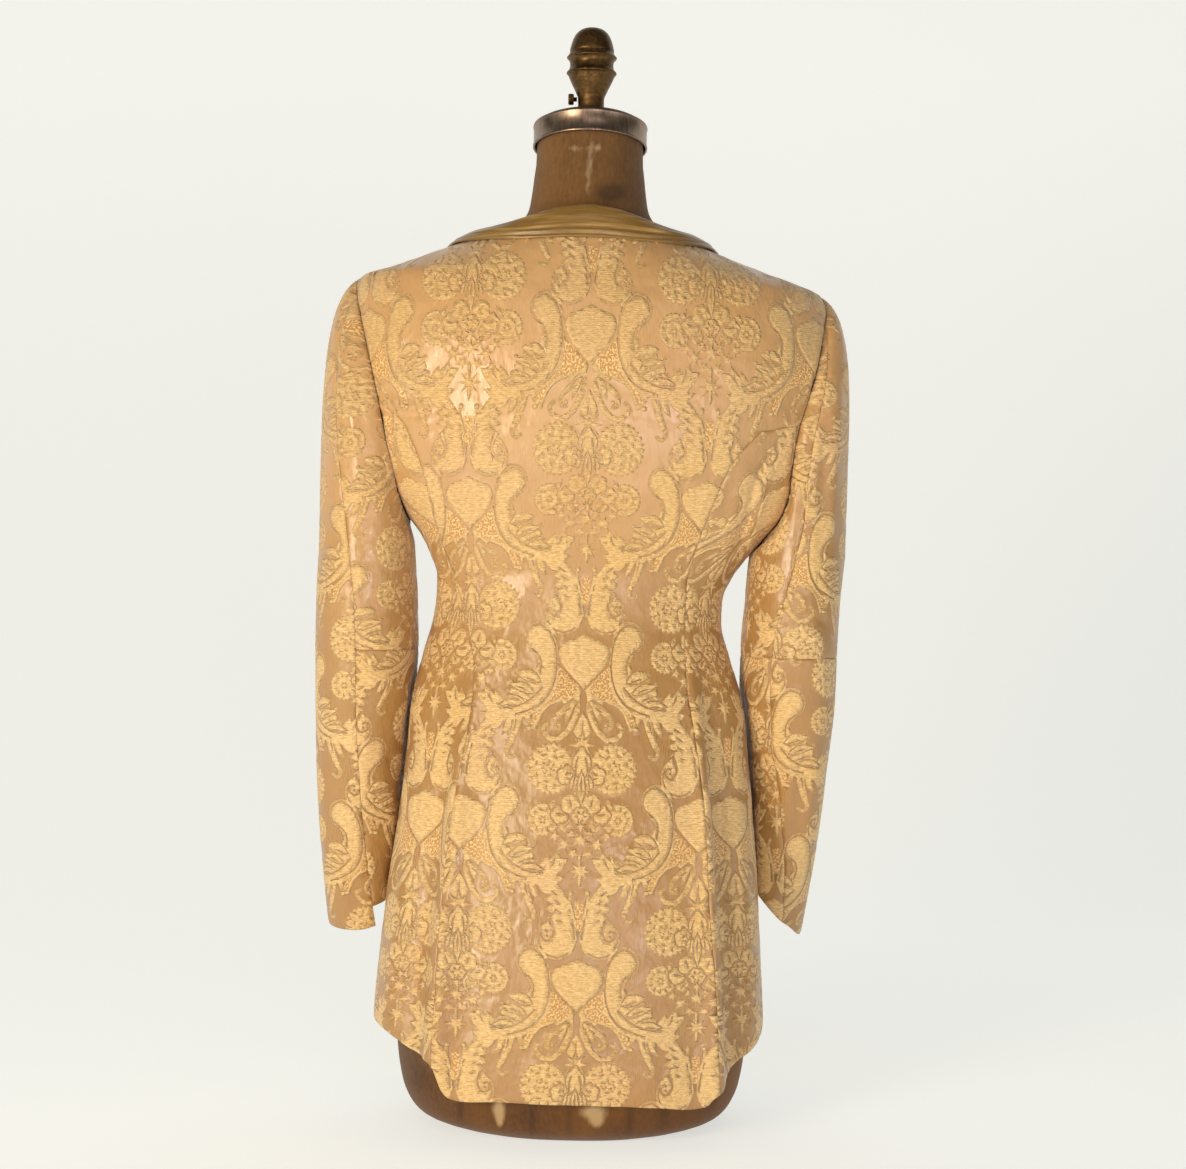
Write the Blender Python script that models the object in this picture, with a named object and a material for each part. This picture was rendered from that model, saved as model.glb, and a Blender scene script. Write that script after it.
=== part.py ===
"""Fitted brocade coat with a satin collar, standing on a limbless linen dress form.

Metres, +Z up. The coat's back faces -Y, the wearer's right is +X. The origin is the middle of the form's flat base.
Every cut piece of the coat is a thin wall on one shared surface, bounded by its own seams.
"""

import math

import bpy
import numpy as np
from mathutils import Vector
from mathutils.geometry import delaunay_2d_cdt

# Walls and gaps
CLOTH = 0.0012
COLLAR_CLOTH = 0.0014
SEAM_GAP = 0.0004
COLLAR_GAP = 0.0011
SPACING = 0.026
FINER = 0.5
FINE_ABOVE = 0.690

# Body of the coat: height, left half width, right half width, back depth, front depth, roundness
BODY_ROWS = (
    (0.020, 0.172, 0.166, 0.121, 0.112, 2.50),
    (0.050, 0.172, 0.166, 0.121, 0.112, 2.50),
    (0.100, 0.170, 0.164, 0.119, 0.111, 2.45),
    (0.150, 0.166, 0.161, 0.116, 0.110, 2.40),
    (0.200, 0.161, 0.158, 0.111, 0.108, 2.35),
    (0.260, 0.153, 0.153, 0.104, 0.105, 2.30),
    (0.310, 0.148, 0.148, 0.096, 0.103, 2.25),
    (0.360, 0.144, 0.142, 0.086, 0.101, 2.20),
    (0.400, 0.135, 0.130, 0.078, 0.099, 2.15),
    (0.430, 0.127, 0.122, 0.074, 0.098, 2.10),
    (0.450, 0.1245, 0.1225, 0.073, 0.098, 2.10),
    (0.468, 0.1240, 0.129, 0.074, 0.099, 2.10),
    (0.485, 0.130, 0.140, 0.078, 0.102, 2.15),
    (0.503, 0.139, 0.158, 0.083, 0.107, 2.22),
    (0.522, 0.154, 0.180, 0.088, 0.112, 2.30),
    (0.545, 0.171, 0.194, 0.094, 0.118, 2.35),
    (0.590, 0.190, 0.204, 0.103, 0.121, 2.40),
    (0.650, 0.201, 0.214, 0.107, 0.110, 2.35),
    (0.690, 0.203, 0.212, 0.103, 0.092, 2.20),
    (0.7137, 0.201, 0.203, 0.096, 0.076, 2.10),
    (0.7245, 0.194, 0.179, 0.092, 0.067, 2.05),
    (0.7304, 0.175, 0.162, 0.090, 0.062, 2.00),
    (0.7410, 0.146, 0.133, 0.0855, 0.053, 2.00),
    (0.7470, 0.130, 0.117, 0.082, 0.048, 2.00),
    (0.7510, 0.118, 0.107, 0.080, 0.045, 2.00),
    (0.7550, 0.107, 0.098, 0.077, 0.041, 2.00),
    (0.7600, 0.096, 0.090, 0.074, 0.037, 2.00),
    (0.7640, 0.089, 0.085, 0.071, 0.033, 2.00),
    (0.7700, 0.081, 0.079, 0.066, 0.028, 2.00),
    (0.7800, 0.070, 0.069, 0.057, 0.022, 2.00),
)

# Skirt folds: side, angle from centre back, spread in degrees, height of the ridge, where it begins, how fast it grows
SKIRT_FOLDS = (
    (1, 40.0, 5.0, 0.0065, 0.42, 0.16),
    (1, 54.0, 8.0, -0.0060, 0.42, 0.18),
    (-1, 37.0, 5.0, 0.0060, 0.42, 0.16),
    (-1, 50.0, 8.0, -0.0065, 0.42, 0.18),
    (1, 14.0, 10.0, -0.0020, 0.30, 0.20),
    (-1, 16.0, 9.0, -0.0022, 0.30, 0.20),
    (1, 118.0, 13.0, 0.0040, 0.36, 0.20),
    (-1, 121.0, 12.0, 0.0042, 0.36, 0.20),
    (1, 139.0, 12.0, -0.0035, 0.36, 0.20),
    (-1, 142.0, 12.0, -0.0035, 0.36, 0.20),
)

# Hem of the body: angle from centre back, height
HEM_ROWS = ((0, 0.0375), (22, 0.036), (38, 0.034), (46, 0.048), (62, 0.077), (76, 0.103), (90, 0.110), (120, 0.110), (180, 0.101))

# Back princess seam: height, left distance from the middle, right distance
BACK_SEAM_ROWS = (
    (0.020, 0.110, 0.118),
    (0.070, 0.110, 0.116),
    (0.121, 0.108, 0.113),
    (0.180, 0.105, 0.108),
    (0.240, 0.101, 0.104),
    (0.282, 0.096, 0.101),
    (0.345, 0.0885, 0.0944),
    (0.380, 0.0865, 0.090),
    (0.420, 0.093, 0.089),
    (0.460, 0.106, 0.0895),
    (0.500, 0.1205, 0.0985),
    (0.520, 0.126, 0.1055),
    (0.545, 0.131, 0.115),
    (0.566, 0.138, 0.125),
    (0.592, 0.150, 0.148),
)

# Front princess seam: height, distance from the middle
FRONT_SEAM_ROWS = ((0.020, 0.100), (0.100, 0.098), (0.250, 0.090), (0.350, 0.080), (0.440, 0.072), (0.520, 0.088), (0.592, 0.130))

# Front opening: height, distance of the neckline from the middle
OPENING_ROWS = ((0.500, 0.0), (0.520, 0.0085), (0.560, 0.0245), (0.620, 0.0465), (0.680, 0.0655), (0.720, 0.0790), (0.745, 0.0890))
NECK_BACK = 0.7610
NECK_SIDE = 0.7560
NECK_DIP = 0.0042
CLOSED_TO = 0.500

# Armholes: side, top height, bottom height, reach to the back and to the front in degrees
ARMHOLES = {-1: (0.7235, 0.5160, 30.0, 27.0), 1: (0.7150, 0.4970, 30.0, 27.0)}
ARMHOLE_SKEW = 0.18
BACK_SEAM_AT = 93.0
SIDE_SEAM_AT = 172.0
FRONT_SEAM_AT = 268.0

# Sleeve tubes: height, outer edge, inner edge, middle in Y, half depth in Y, turn in degrees
SLEEVE_ROWS = {
    1: (
        (0.490, 0.2275, 0.1465, -0.001, 0.0610, 0.0),
        (0.450, 0.2235, 0.1440, -0.002, 0.0590, 2.0),
        (0.410, 0.2215, 0.1420, 0.000, 0.0565, 5.0),
        (0.364, 0.2205, 0.1420, 0.007, 0.0540, 9.0),
        (0.312, 0.2160, 0.1420, 0.020, 0.0510, 14.0),
        (0.260, 0.2115, 0.1420, 0.036, 0.0480, 18.0),
        (0.222, 0.2075, 0.1420, 0.048, 0.0460, 20.0),
        (0.150, 0.1985, 0.1385, 0.070, 0.0430, 20.0),
    ),
    -1: (
        (0.490, 0.2265, 0.1460, -0.001, 0.0610, 0.0),
        (0.450, 0.2275, 0.1430, -0.002, 0.0590, 2.0),
        (0.410, 0.2275, 0.1418, 0.000, 0.0565, 4.0),
        (0.364, 0.2265, 0.1430, 0.006, 0.0540, 8.0),
        (0.300, 0.2255, 0.1465, 0.020, 0.0505, 12.0),
        (0.250, 0.2235, 0.1480, 0.033, 0.0480, 14.0),
        (0.200, 0.2200, 0.1480, 0.046, 0.0460, 15.0),
        (0.150, 0.2155, 0.1460, 0.058, 0.0450, 15.0),
    ),
}
BICEP = 0.490
CAP_OUT = 0.155
CAP_LOW = 0.34
EDGE_STEP = 0.0011
CAP_DOWN = 0.42
SLEEVE_CLEAR = 0.0042

# Sleeve hems: angle from the outer edge towards the back, height
SLEEVE_HEMS = {
    1: ((0, 0.166), (45, 0.155), (90, 0.167), (135, 0.190), (180, 0.206), (225, 0.203), (270, 0.190), (315, 0.177), (360, 0.166)),
    -1: ((0, 0.168), (45, 0.157), (90, 0.155), (135, 0.162), (180, 0.170), (225, 0.175), (270, 0.175), (315, 0.173), (360, 0.168)),
}
UNDER_SHORTER = {1: 0.000, -1: 0.018}

# Hind-arm seams: level (0 armhole, 1 upper arm, 2 lowest ring), angle from the outer edge
HIND_SEAMS = {
    1: ((0.0, 38), (0.3, 56), (0.6, 72), (0.8, 80), (1.0, 92), (1.12, 102), (1.25, 115), (1.35, 113), (1.68, 106), (2.0, 84)),
    -1: ((0.0, 38), (0.3, 50), (0.6, 60), (0.8, 66), (1.0, 70), (1.25, 75), (1.45, 79), (1.7, 86), (1.85, 96), (2.0, 101)),
}
FORE_SEAM = ((0.0, 234), (1.0, 220), (2.0, 214))
ELBOW = 0.403

# Collar: angle from centre back or height on the front, stand height, how far the fall reaches beyond the neckline
COLLAR_END = 0.512
COLLAR_ROWS = ((0, 0.0138, 0.0130), (13, 0.0124, 0.0127), (27, 0.0088, 0.0124), (42, 0.0050, 0.0115), (55, 0.0034, 0.0125), (68, 0.0030, 0.0145), (90, 0.0028, 0.0165))
COLLAR_FRONT = ((0.500, 0.0030, 0.0100), (0.540, 0.0034, 0.0200), (0.620, 0.0036, 0.0260), (0.700, 0.0034, 0.0240), (0.7610, 0.0032, 0.0185))

# Dress form: height, half width, back gap and front gap to the coat's body
FORM_ROWS = (
    (0.040, 0.1490, 0.0110, 0.0090),
    (0.100, 0.1515, 0.0100, 0.0060),
    (0.150, 0.1510, 0.0090, 0.0050),
    (0.200, 0.1485, 0.0075, 0.0045),
    (0.260, 0.1440, 0.0060, 0.0040),
    (0.310, 0.1380, 0.0050, 0.0040),
    (0.360, 0.1300, 0.0040, 0.0040),
    (0.400, 0.1215, 0.0035, 0.0040),
    (0.450, 0.1140, 0.0032, 0.0040),
    (0.500, 0.1240, 0.0030, 0.0040),
    (0.545, 0.1360, 0.0028, 0.0036),
    (0.590, 0.1460, 0.0027, 0.0036),
    (0.650, 0.1590, 0.0026, 0.0036),
    (0.700, 0.1660, 0.0028, 0.0040),
    (0.725, 0.1620, 0.0032, 0.0046),
    (0.745, 0.1540, 0.0038, 0.0052),
    (0.760, 0.1400, 0.0048, 0.0056),
)
FORM_SIDE_GAP = 0.0056
# Neck of the form: height, half width, back, front, left unlike the coat's rings
NECK_ROWS = (
    (0.7620, 0.0780, 0.0670, 0.0340),
    (0.7680, 0.0680, 0.0605, 0.0330),
    (0.7760, 0.0575, 0.0550, 0.0350),
    (0.7860, 0.0520, 0.0515, 0.0400),
    (0.7980, 0.0498, 0.0495, 0.0440),
    (0.8150, 0.0478, 0.0478, 0.0455),
    (0.8330, 0.0458, 0.0458, 0.0446),
    (0.8600, 0.0454, 0.0454, 0.0450),
)
# Rounded bottom of the form: height, how far in from the first ring
BOTTOM_ROWS = ((0.0, 0.0400), (0.0018, 0.0330), (0.006, 0.0225), (0.014, 0.0125), (0.028, 0.0045))

# Neck ring, cap and finial
RING_RADIUS = 0.0492
RING_WALL = 0.0012
RING_BOTTOM = 0.8400
RING_TOP = 0.8595
RING_TILT = math.radians(8.0)
CAP_ROWS = ((0.8495, 0.0465), (0.8510, 0.0476), (0.8575, 0.0476), (0.8620, 0.0450), (0.8665, 0.0330), (0.8690, 0.0180), (0.8694, 0.0))
FINIAL_ROWS = (
    (0.8711, 0.0140),
    (0.8738, 0.0140),
    (0.8758, 0.0120),
    (0.8800, 0.0117),
    (0.8865, 0.0119),
    (0.8900, 0.0152),
    (0.8950, 0.0172),
    (0.8996, 0.0187),
    (0.9030, 0.0212),
    (0.9057, 0.0218),
    (0.9084, 0.0211),
    (0.9118, 0.0191),
    (0.9150, 0.0191),
    (0.9175, 0.0211),
    (0.9196, 0.0218),
    (0.9218, 0.0211),
    (0.9248, 0.0200),
    (0.9318, 0.0183),
    (0.9388, 0.0147),
    (0.9430, 0.0095),
    (0.9452, 0.0045),
    (0.9457, 0.0),
)
SCREW_HEIGHT = 0.8835
SCREW_DISC = (0.0150, 0.0198, 0.0048)
SCREW_SHANK = (0.0123, 0.0150, 0.0019)


def smooth(at, rows, column=1):
    """Reads a column of a short table along a smooth curve with no overshoot."""
    x = np.array([r[0] for r in rows], float)
    y = np.array([r[column] for r in rows], float)
    step = np.diff(x)
    rise = np.diff(y) / step
    slope = np.zeros_like(y)
    slope[0] = rise[0]
    slope[-1] = rise[-1]
    same = rise[:-1] * rise[1:] > 0
    w1 = 2 * step[1:] + step[:-1]
    w2 = step[1:] + 2 * step[:-1]
    inner = np.zeros(len(y) - 2)
    inner[same] = (w1 + w2)[same] / (w1[same] / rise[:-1][same] + w2[same] / rise[1:][same])
    slope[1:-1] = inner
    at = np.clip(np.asarray(at, float), x[0], x[-1])
    k = np.clip(np.searchsorted(x, at, side="right") - 1, 0, len(step) - 1)
    t = (at - x[k]) / step[k]
    a = (1 + 2 * t) * (1 - t) ** 2 * y[k] + t * (1 - t) ** 2 * slope[k] * step[k]
    b = t * t * (3 - 2 * t) * y[k + 1] + t * t * (t - 1) * slope[k + 1] * step[k]
    return a + b


def skirt_folds(theta, z):
    """How far the folds of the skirt stand out, for angles in radians."""
    degrees = np.degrees(theta)
    out = np.zeros(np.broadcast(theta, z).shape)
    for side, angle, spread, height, start, reach in SKIRT_FOLDS:
        grow = np.clip((start - z) / reach, 0, 1)
        grow = grow * grow * (3 - 2 * grow)
        out = out + height * grow * np.exp(-(((degrees - side * angle) / spread) ** 2))
    return out


def ring_sizes(theta, z):
    """Half width, depth and roundness of the body's ring where an angle and height lie."""
    right = np.sin(theta) >= 0
    half = np.where(right, smooth(z, BODY_ROWS, 2), smooth(z, BODY_ROWS, 1))
    back = np.cos(theta) >= 0
    depth = np.where(back, smooth(z, BODY_ROWS, 3), smooth(z, BODY_ROWS, 4))
    return half, depth, smooth(z, BODY_ROWS, 5)


def body(theta, z):
    """A point on the middle of the body's cloth. Angle 0 is centre back and grows towards +X."""
    theta = np.asarray(theta, float)
    z = np.asarray(z, float)
    half, depth, power = ring_sizes(theta, z)
    s = np.sin(theta)
    c = np.cos(theta)
    x = half * np.sign(s) * np.abs(s) ** (2 / power)
    y = -depth * np.sign(c) * np.abs(c) ** (2 / power)
    length = np.maximum(np.hypot(x, y), 1e-6)
    more = 1 + skirt_folds((theta + np.pi) % (2 * np.pi) - np.pi, z) / length
    return np.stack([x * more, y * more, np.broadcast_to(z, x.shape)], -1)


def unit(v):
    return v / np.maximum(np.linalg.norm(v, axis=-1, keepdims=True), 1e-12)


def body_normal(theta, z):
    """Outward direction of the body's cloth."""
    around = body(theta + 0.012, z) - body(theta - 0.012, z)
    up = body(theta, np.minimum(z + 0.002, 0.779)) - body(theta, z - 0.002)
    return unit(np.cross(around, up))


def angle_at(distance, z, side, front):
    """The angle at which the body's ring is a distance from the middle, on one side."""
    half = smooth(z, BODY_ROWS, 2 if side > 0 else 1)
    power = smooth(z, BODY_ROWS, 5)
    share = np.clip(distance / half, 0, 1) ** (power / 2)
    turn = np.arcsin(share)
    return side * np.where(front, np.pi - turn, turn)


def armhole(side, alpha):
    """Angle and height on the body of the armhole seam. Alpha 0 is the shoulder, 90 the back, 180 the underarm."""
    top, bottom, to_back, to_front = ARMHOLES[side]
    a = np.radians(alpha)
    reach = np.where(np.sin(a) > 0, to_back, to_front)
    theta = 90 - reach * np.sin(a) * (1 - ARMHOLE_SKEW * np.cos(a))
    z = (top + bottom) / 2 + (top - bottom) / 2 * np.cos(a)
    return side * np.radians(theta), z


def place_on_body(grain, xy, sign):
    """Turns flat cloth points into angles and heights. X is measured along the ring from the grain angle."""
    heights = np.linspace(0.02, 0.779, 240)
    sizes = np.abs(np.diff(heights, prepend=heights[0]))
    profile = body(np.zeros(240) + np.radians(20), heights)
    steps = np.linalg.norm(np.diff(profile, axis=0, prepend=profile[:1]), axis=1)
    run = np.cumsum(np.maximum(steps, sizes))
    z = np.interp(xy[:, 1], run - run[0], heights)
    angles = np.linspace(grain - 1.9, grain + 1.9, 400)
    theta = np.zeros(len(xy))
    for k, (flat_x, height) in enumerate(zip(xy[:, 0], z)):
        ring = body(angles, np.full(400, height))
        arc = np.concatenate([[0], np.cumsum(np.linalg.norm(np.diff(ring, axis=0), axis=1))])
        arc = arc - np.interp(grain, angles, arc)
        theta[k] = np.interp(sign * flat_x, arc, angles)
    return theta, z


def flatten_body(grain, theta, z, sign):
    """The flat cloth coordinates of points on the body."""
    heights = np.linspace(0.02, 0.779, 240)
    sizes = np.abs(np.diff(heights, prepend=heights[0]))
    profile = body(np.zeros(240) + np.radians(20), heights)
    steps = np.linalg.norm(np.diff(profile, axis=0, prepend=profile[:1]), axis=1)
    run = np.cumsum(np.maximum(steps, sizes))
    y = np.interp(z, heights, run - run[0])
    angles = np.linspace(grain - 1.9, grain + 1.9, 400)
    x = np.zeros(len(theta))
    for k, (angle, height) in enumerate(zip(theta, z)):
        ring = body(angles, np.full(400, height))
        arc = np.concatenate([[0], np.cumsum(np.linalg.norm(np.diff(ring, axis=0), axis=1))])
        arc = arc - np.interp(grain, angles, arc)
        x[k] = sign * np.interp(angle, angles, arc)
    return np.stack([x, y], 1)


def inset(outline, by):
    """Moves a closed outline inwards by the same distance on every side."""
    area = 0.5 * np.sum(outline[:, 0] * np.roll(outline[:, 1], -1) - outline[:, 1] * np.roll(outline[:, 0], -1))
    turn = 1 if area > 0 else -1
    before = unit(outline - np.roll(outline, 1, axis=0))
    after = unit(np.roll(outline, -1, axis=0) - outline)
    n1 = np.stack([-before[:, 1], before[:, 0]], 1) * turn
    n2 = np.stack([-after[:, 1], after[:, 0]], 1) * turn
    middle = unit(n1 + n2)
    stretch = 1 / np.maximum(np.sum(middle * n1, axis=1), 0.5)
    distance = np.asarray(by) * stretch
    return outline + middle * distance[:, None]


def inside(points, outline):
    """Which points lie inside a closed outline."""
    result = np.zeros(len(points), bool)
    x = points[:, 0]
    y = points[:, 1]
    for a, b in zip(outline, np.roll(outline, -1, axis=0)):
        crosses = (a[1] > y) != (b[1] > y)
        where = (b[0] - a[0]) * (y - a[1]) / (b[1] - a[1] + 1e-15) + a[0]
        result ^= crosses & (x < where)
    return result


def edge_distance(points, outline):
    """Least distance of each point from an outline."""
    best = np.full(len(points), 1e9)
    for a, b in zip(outline, np.roll(outline, -1, axis=0)):
        d = b - a
        t = np.clip(((points - a) @ d) / max(d @ d, 1e-15), 0, 1)
        best = np.minimum(best, np.linalg.norm(points - a - t[:, None] * d, axis=1))
    return best


def staggered(low, high, spacing):
    """A net of points in rows that are half a step out of line."""
    net = []
    rows = int((high[1] - low[1]) / (spacing * 0.87)) + 1
    for k in range(rows + 1):
        y = low[1] + (k + 0.37) * spacing * 0.87
        start = low[0] + (0.25 if k % 2 else 0.75) * spacing
        net.extend((x, y) for x in np.arange(start, high[0], spacing))
    return np.array(net).reshape(-1, 2)


def fill(outline, spacing, fine_above=1e9):
    """Triangles over the inside of an outline, with a net of points that is finer above a height."""
    low = outline.min(0)
    high = outline.max(0)
    coarse = staggered(low, high, spacing)
    fine = staggered(low, high, spacing * FINER)
    coarse = coarse[coarse[:, 1] < fine_above - spacing * 0.4]
    fine = fine[fine[:, 1] > fine_above]
    coarse = coarse[inside(coarse, outline)]
    coarse = coarse[edge_distance(coarse, outline) > 0.55 * spacing]
    if len(fine):
        fine = fine[inside(fine, outline)]
        fine = fine[edge_distance(fine, outline) > 0.55 * spacing * FINER]
    net = np.concatenate([coarse, fine])
    points = np.concatenate([outline, net]) if len(net) else outline
    count = len(outline)
    edges = [(k, (k + 1) % count) for k in range(count)]
    done = delaunay_2d_cdt([Vector(p) for p in points], edges, [], 0, 1e-7, True)
    flat = np.array([tuple(p) for p in done[0]])
    triangles = np.array([tuple(f) for f in done[2]])
    return flat, triangles[inside(flat[triangles].mean(1), outline)]


def add_mesh(name, points, faces, material):
    mesh = bpy.data.meshes.new(name)
    mesh.from_pydata([tuple(p) for p in points], [], [tuple(f) for f in faces])
    mesh.materials.append(material)
    mesh.update()
    thing = bpy.data.objects.new(name, mesh)
    bpy.context.scene.collection.objects.link(thing)
    return thing


def wall(name, middle, normal, triangles, thickness, material):
    """A closed wall from a triangulated middle surface and its outward directions."""
    a, b, c = (middle[triangles[:, k]] for k in range(3))
    facing = np.sum(np.cross(b - a, c - a) * normal[triangles[:, 0]], axis=1)
    if np.sum(np.sign(facing)) < 0:
        triangles = triangles[:, ::-1]
    count = len(middle)
    points = np.concatenate([middle + normal * thickness / 2, middle - normal * thickness / 2])
    faces = [tuple(t) for t in triangles]
    faces += [tuple(t + count)[::-1] for t in triangles]
    edges = {}
    for t in triangles:
        for k in range(3):
            edges[(int(t[k]), int(t[(k + 1) % 3]))] = True
    for i, j in list(edges):
        if (j, i) not in edges:
            faces.append((j, i, i + count))
            faces.append((j, i + count, j + count))
    return add_mesh(name, points, faces, material)


def path(start, end, count):
    return np.linspace(start, end, count)


def divide(points, spacing):
    """Cuts a line of (angle, height) points on the body into equal steps of about the spacing."""
    theta = np.array([p[0] for p in points])
    z = np.array([p[1] for p in points])
    place = body(theta, z)
    run = np.concatenate([[0], np.cumsum(np.linalg.norm(np.diff(place, axis=0), axis=1))])
    count = max(2, int(round(run[-1] / spacing)) + 1)
    at = np.linspace(0, run[-1], count)
    return np.stack([np.interp(at, run, theta), np.interp(at, run, z)], 1)


def hem_height(theta):
    degrees = np.abs(np.degrees((np.asarray(theta) + np.pi) % (2 * np.pi) - np.pi))
    return smooth(degrees, HEM_ROWS)


def hem_line(start, end):
    theta = path(start, end, 60)
    return np.stack([theta, hem_height(theta)], 1)


def princess(side, front):
    """A princess seam from the hem to the armhole."""
    rows = FRONT_SEAM_ROWS if front else BACK_SEAM_ROWS
    column = 1 if front or side < 0 else 2
    low = 0.09 if front else 0.05
    for _ in range(20):
        low = float(hem_height(angle_at(smooth(low, rows, column), low, side, front)))
    z = np.linspace(low, 0.592, 90)
    theta = angle_at(smooth(z, rows, column), z, side, front)
    end_theta, end_z = armhole(side, FRONT_SEAM_AT if front else BACK_SEAM_AT)
    line = np.stack([theta, z], 1)
    return np.concatenate([line, [[end_theta, end_z]]])


def side_seam(side):
    top_theta, top_z = armhole(side, SIDE_SEAM_AT)
    low = float(hem_height(side * math.pi / 2))
    z = np.linspace(low, top_z, 60)
    share = (z - low) / (top_z - low)
    theta = side * math.pi / 2 + (top_theta - side * math.pi / 2) * share**2
    return np.stack([theta, z], 1)


def armhole_line(side, start, end):
    alpha = path(start, end, 60)
    theta, z = armhole(side, alpha)
    return np.stack([theta, z], 1)


def neck_height(theta):
    """Height of the back neckline over the angle, from centre back to the shoulder."""
    share = np.clip(np.abs(theta) / (math.pi / 2), 0, 1)
    return NECK_BACK + (NECK_SIDE - NECK_BACK) * share**2 - NECK_DIP * np.sin(math.pi * share) ** 2


def neck_line(start, end):
    theta = path(start, end, 50)
    return np.stack([theta, neck_height(theta)], 1)


def shoulder_line(side):
    """From the neckline to the armhole along the shoulder."""
    z = np.linspace(NECK_SIDE, armhole(side, 0.0)[1], 40)
    return np.stack([np.full(40, side * math.pi / 2), z], 1)


def opening_line(side):
    """From the neckline at the shoulder down the front neckline to where the fronts meet."""
    z = np.linspace(NECK_SIDE, CLOSED_TO, 90)
    x = np.interp(z, [0.745, NECK_SIDE], [0.0, 1.0])
    table = smooth(np.minimum(z, 0.745), OPENING_ROWS)
    half = smooth(NECK_SIDE, BODY_ROWS, 2 if side > 0 else 1)
    distance = table + (half - float(smooth(0.745, OPENING_ROWS))) * x**1.3
    theta = angle_at(np.maximum(distance, 0.0), z, side, True)
    return np.stack([theta, z], 1)


def centre_front(side):
    z = np.linspace(CLOSED_TO, float(hem_height(math.pi)), 60)
    return np.stack([np.full(60, side * math.pi), z], 1)


def body_outline(lines, spacing):
    """Joins lines that follow one another into one closed outline of (angle, height)."""
    parts = []
    for line in lines:
        fine = line[:, 1].min() > FINE_ABOVE + 0.005
        parts.append(divide(line, spacing * (FINER if fine else 1.0))[:-1])
    return np.concatenate(parts)


def body_piece(name, lines, grain, material, extra=None):
    """A cut piece of the body between its seam lines."""
    outline = body_outline(lines, SPACING)
    xy = flatten_body(grain, outline[:, 0], outline[:, 1], 1)
    xy = inset(xy, SEAM_GAP / 2)
    start = flatten_body(grain, np.array([grain]), np.array([FINE_ABOVE]), 1)[0, 1]
    flat, triangles = fill(xy, SPACING, start)
    theta, z = place_on_body(grain, flat, 1)
    return wall(name, body(theta, z), body_normal(theta, z), triangles, CLOTH, material)


def body_pieces(material):
    half = math.pi / 2
    for side, label in ((-1, "left"), (1, "right")):
        back = princess(side, False)
        front = princess(side, True)
        seam = side_seam(side)
        body_piece(
            f"side_back_{label}",
            [hem_line(back[0, 0], seam[0, 0]), seam, armhole_line(side, SIDE_SEAM_AT, BACK_SEAM_AT), back[::-1]],
            side * math.radians(62),
            material,
        )
        body_piece(
            f"side_front_{label}",
            [hem_line(seam[0, 0], front[0, 0]), front, armhole_line(side, FRONT_SEAM_AT, SIDE_SEAM_AT), seam[::-1]],
            side * math.radians(118),
            material,
        )
        body_piece(
            f"front_{label}",
            [
                hem_line(front[0, 0], side * math.pi),
                centre_front(side)[::-1],
                opening_line(side)[::-1],
                shoulder_line(side),
                armhole_line(side, 360.0, FRONT_SEAM_AT),
                front[::-1],
            ],
            side * math.radians(150),
            material,
        )
    left = princess(-1, False)
    right = princess(1, False)
    body_piece(
        "back",
        [
            hem_line(left[0, 0], right[0, 0]),
            right,
            armhole_line(1, BACK_SEAM_AT, 0.0),
            shoulder_line(1)[::-1],
            neck_line(half, -half),
            shoulder_line(-1),
            armhole_line(-1, 0.0, BACK_SEAM_AT),
            left[::-1],
        ],
        0.0,
        material,
    )


def clear_of_body(points, clearance):
    """Pushes points that come too near the body's cloth straight out of its rings."""
    x = points[..., 0]
    y = points[..., 1]
    z = points[..., 2]
    half = np.where(x >= 0, smooth(z, BODY_ROWS, 2), smooth(z, BODY_ROWS, 1))
    depth = np.where(y <= 0, smooth(z, BODY_ROWS, 3), smooth(z, BODY_ROWS, 4))
    power = smooth(z, BODY_ROWS, 5)
    scale = ((np.abs(x) / half) ** power + (np.abs(y) / depth) ** power) ** (1 / power)
    share = np.clip((np.abs(x) / half / scale), 0, 1) ** (power / 2)
    turn = np.arcsin(share)
    theta = np.where(x >= 0, 1, -1) * np.where(y <= 0, turn, np.pi - turn)
    length = np.hypot(x, y)
    least = 1 + (clearance + skirt_folds(theta, z)) / (length / scale)
    soft = 0.012
    more = (scale - least) / soft
    pushed = least + soft * np.where(more > 30, more, np.log1p(np.exp(np.minimum(more, 30))))
    below = np.clip((0.47 - z) / 0.03, 0, 1)
    factor = 1 + (pushed / scale - 1) * below
    return np.stack([x * factor, y * factor, z], -1)


CAP_STEPS = 40
TUBE_STEPS = 120
AROUND = 180
TUBE_END = 0.150


def tube_ring(side, phi, z):
    """A ring of a sleeve's tube. Phi 0 is the outer edge, 90 the back, 180 the inner edge."""
    rows = tuple(sorted(SLEEVE_ROWS[side]))
    outer = smooth(z, rows, 1)
    inner = smooth(z, rows, 2)
    middle = (outer + inner) / 2
    half = (outer - inner) / 2
    y0 = smooth(z, rows, 3)
    depth = smooth(z, rows, 4)
    turn = np.radians(smooth(z, rows, 5))
    c = np.cos(phi)
    s = np.sin(phi)
    u = half * np.sign(c) * np.abs(c) ** 0.92
    v = -depth * np.sign(s) * np.abs(s) ** 0.92
    x = u * np.cos(turn) - v * np.sin(turn)
    y = u * np.sin(turn) * 0.5 + v * np.cos(turn)
    return np.stack([side * (middle + x), y0 + y, z + 0 * x], -1)


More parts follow.
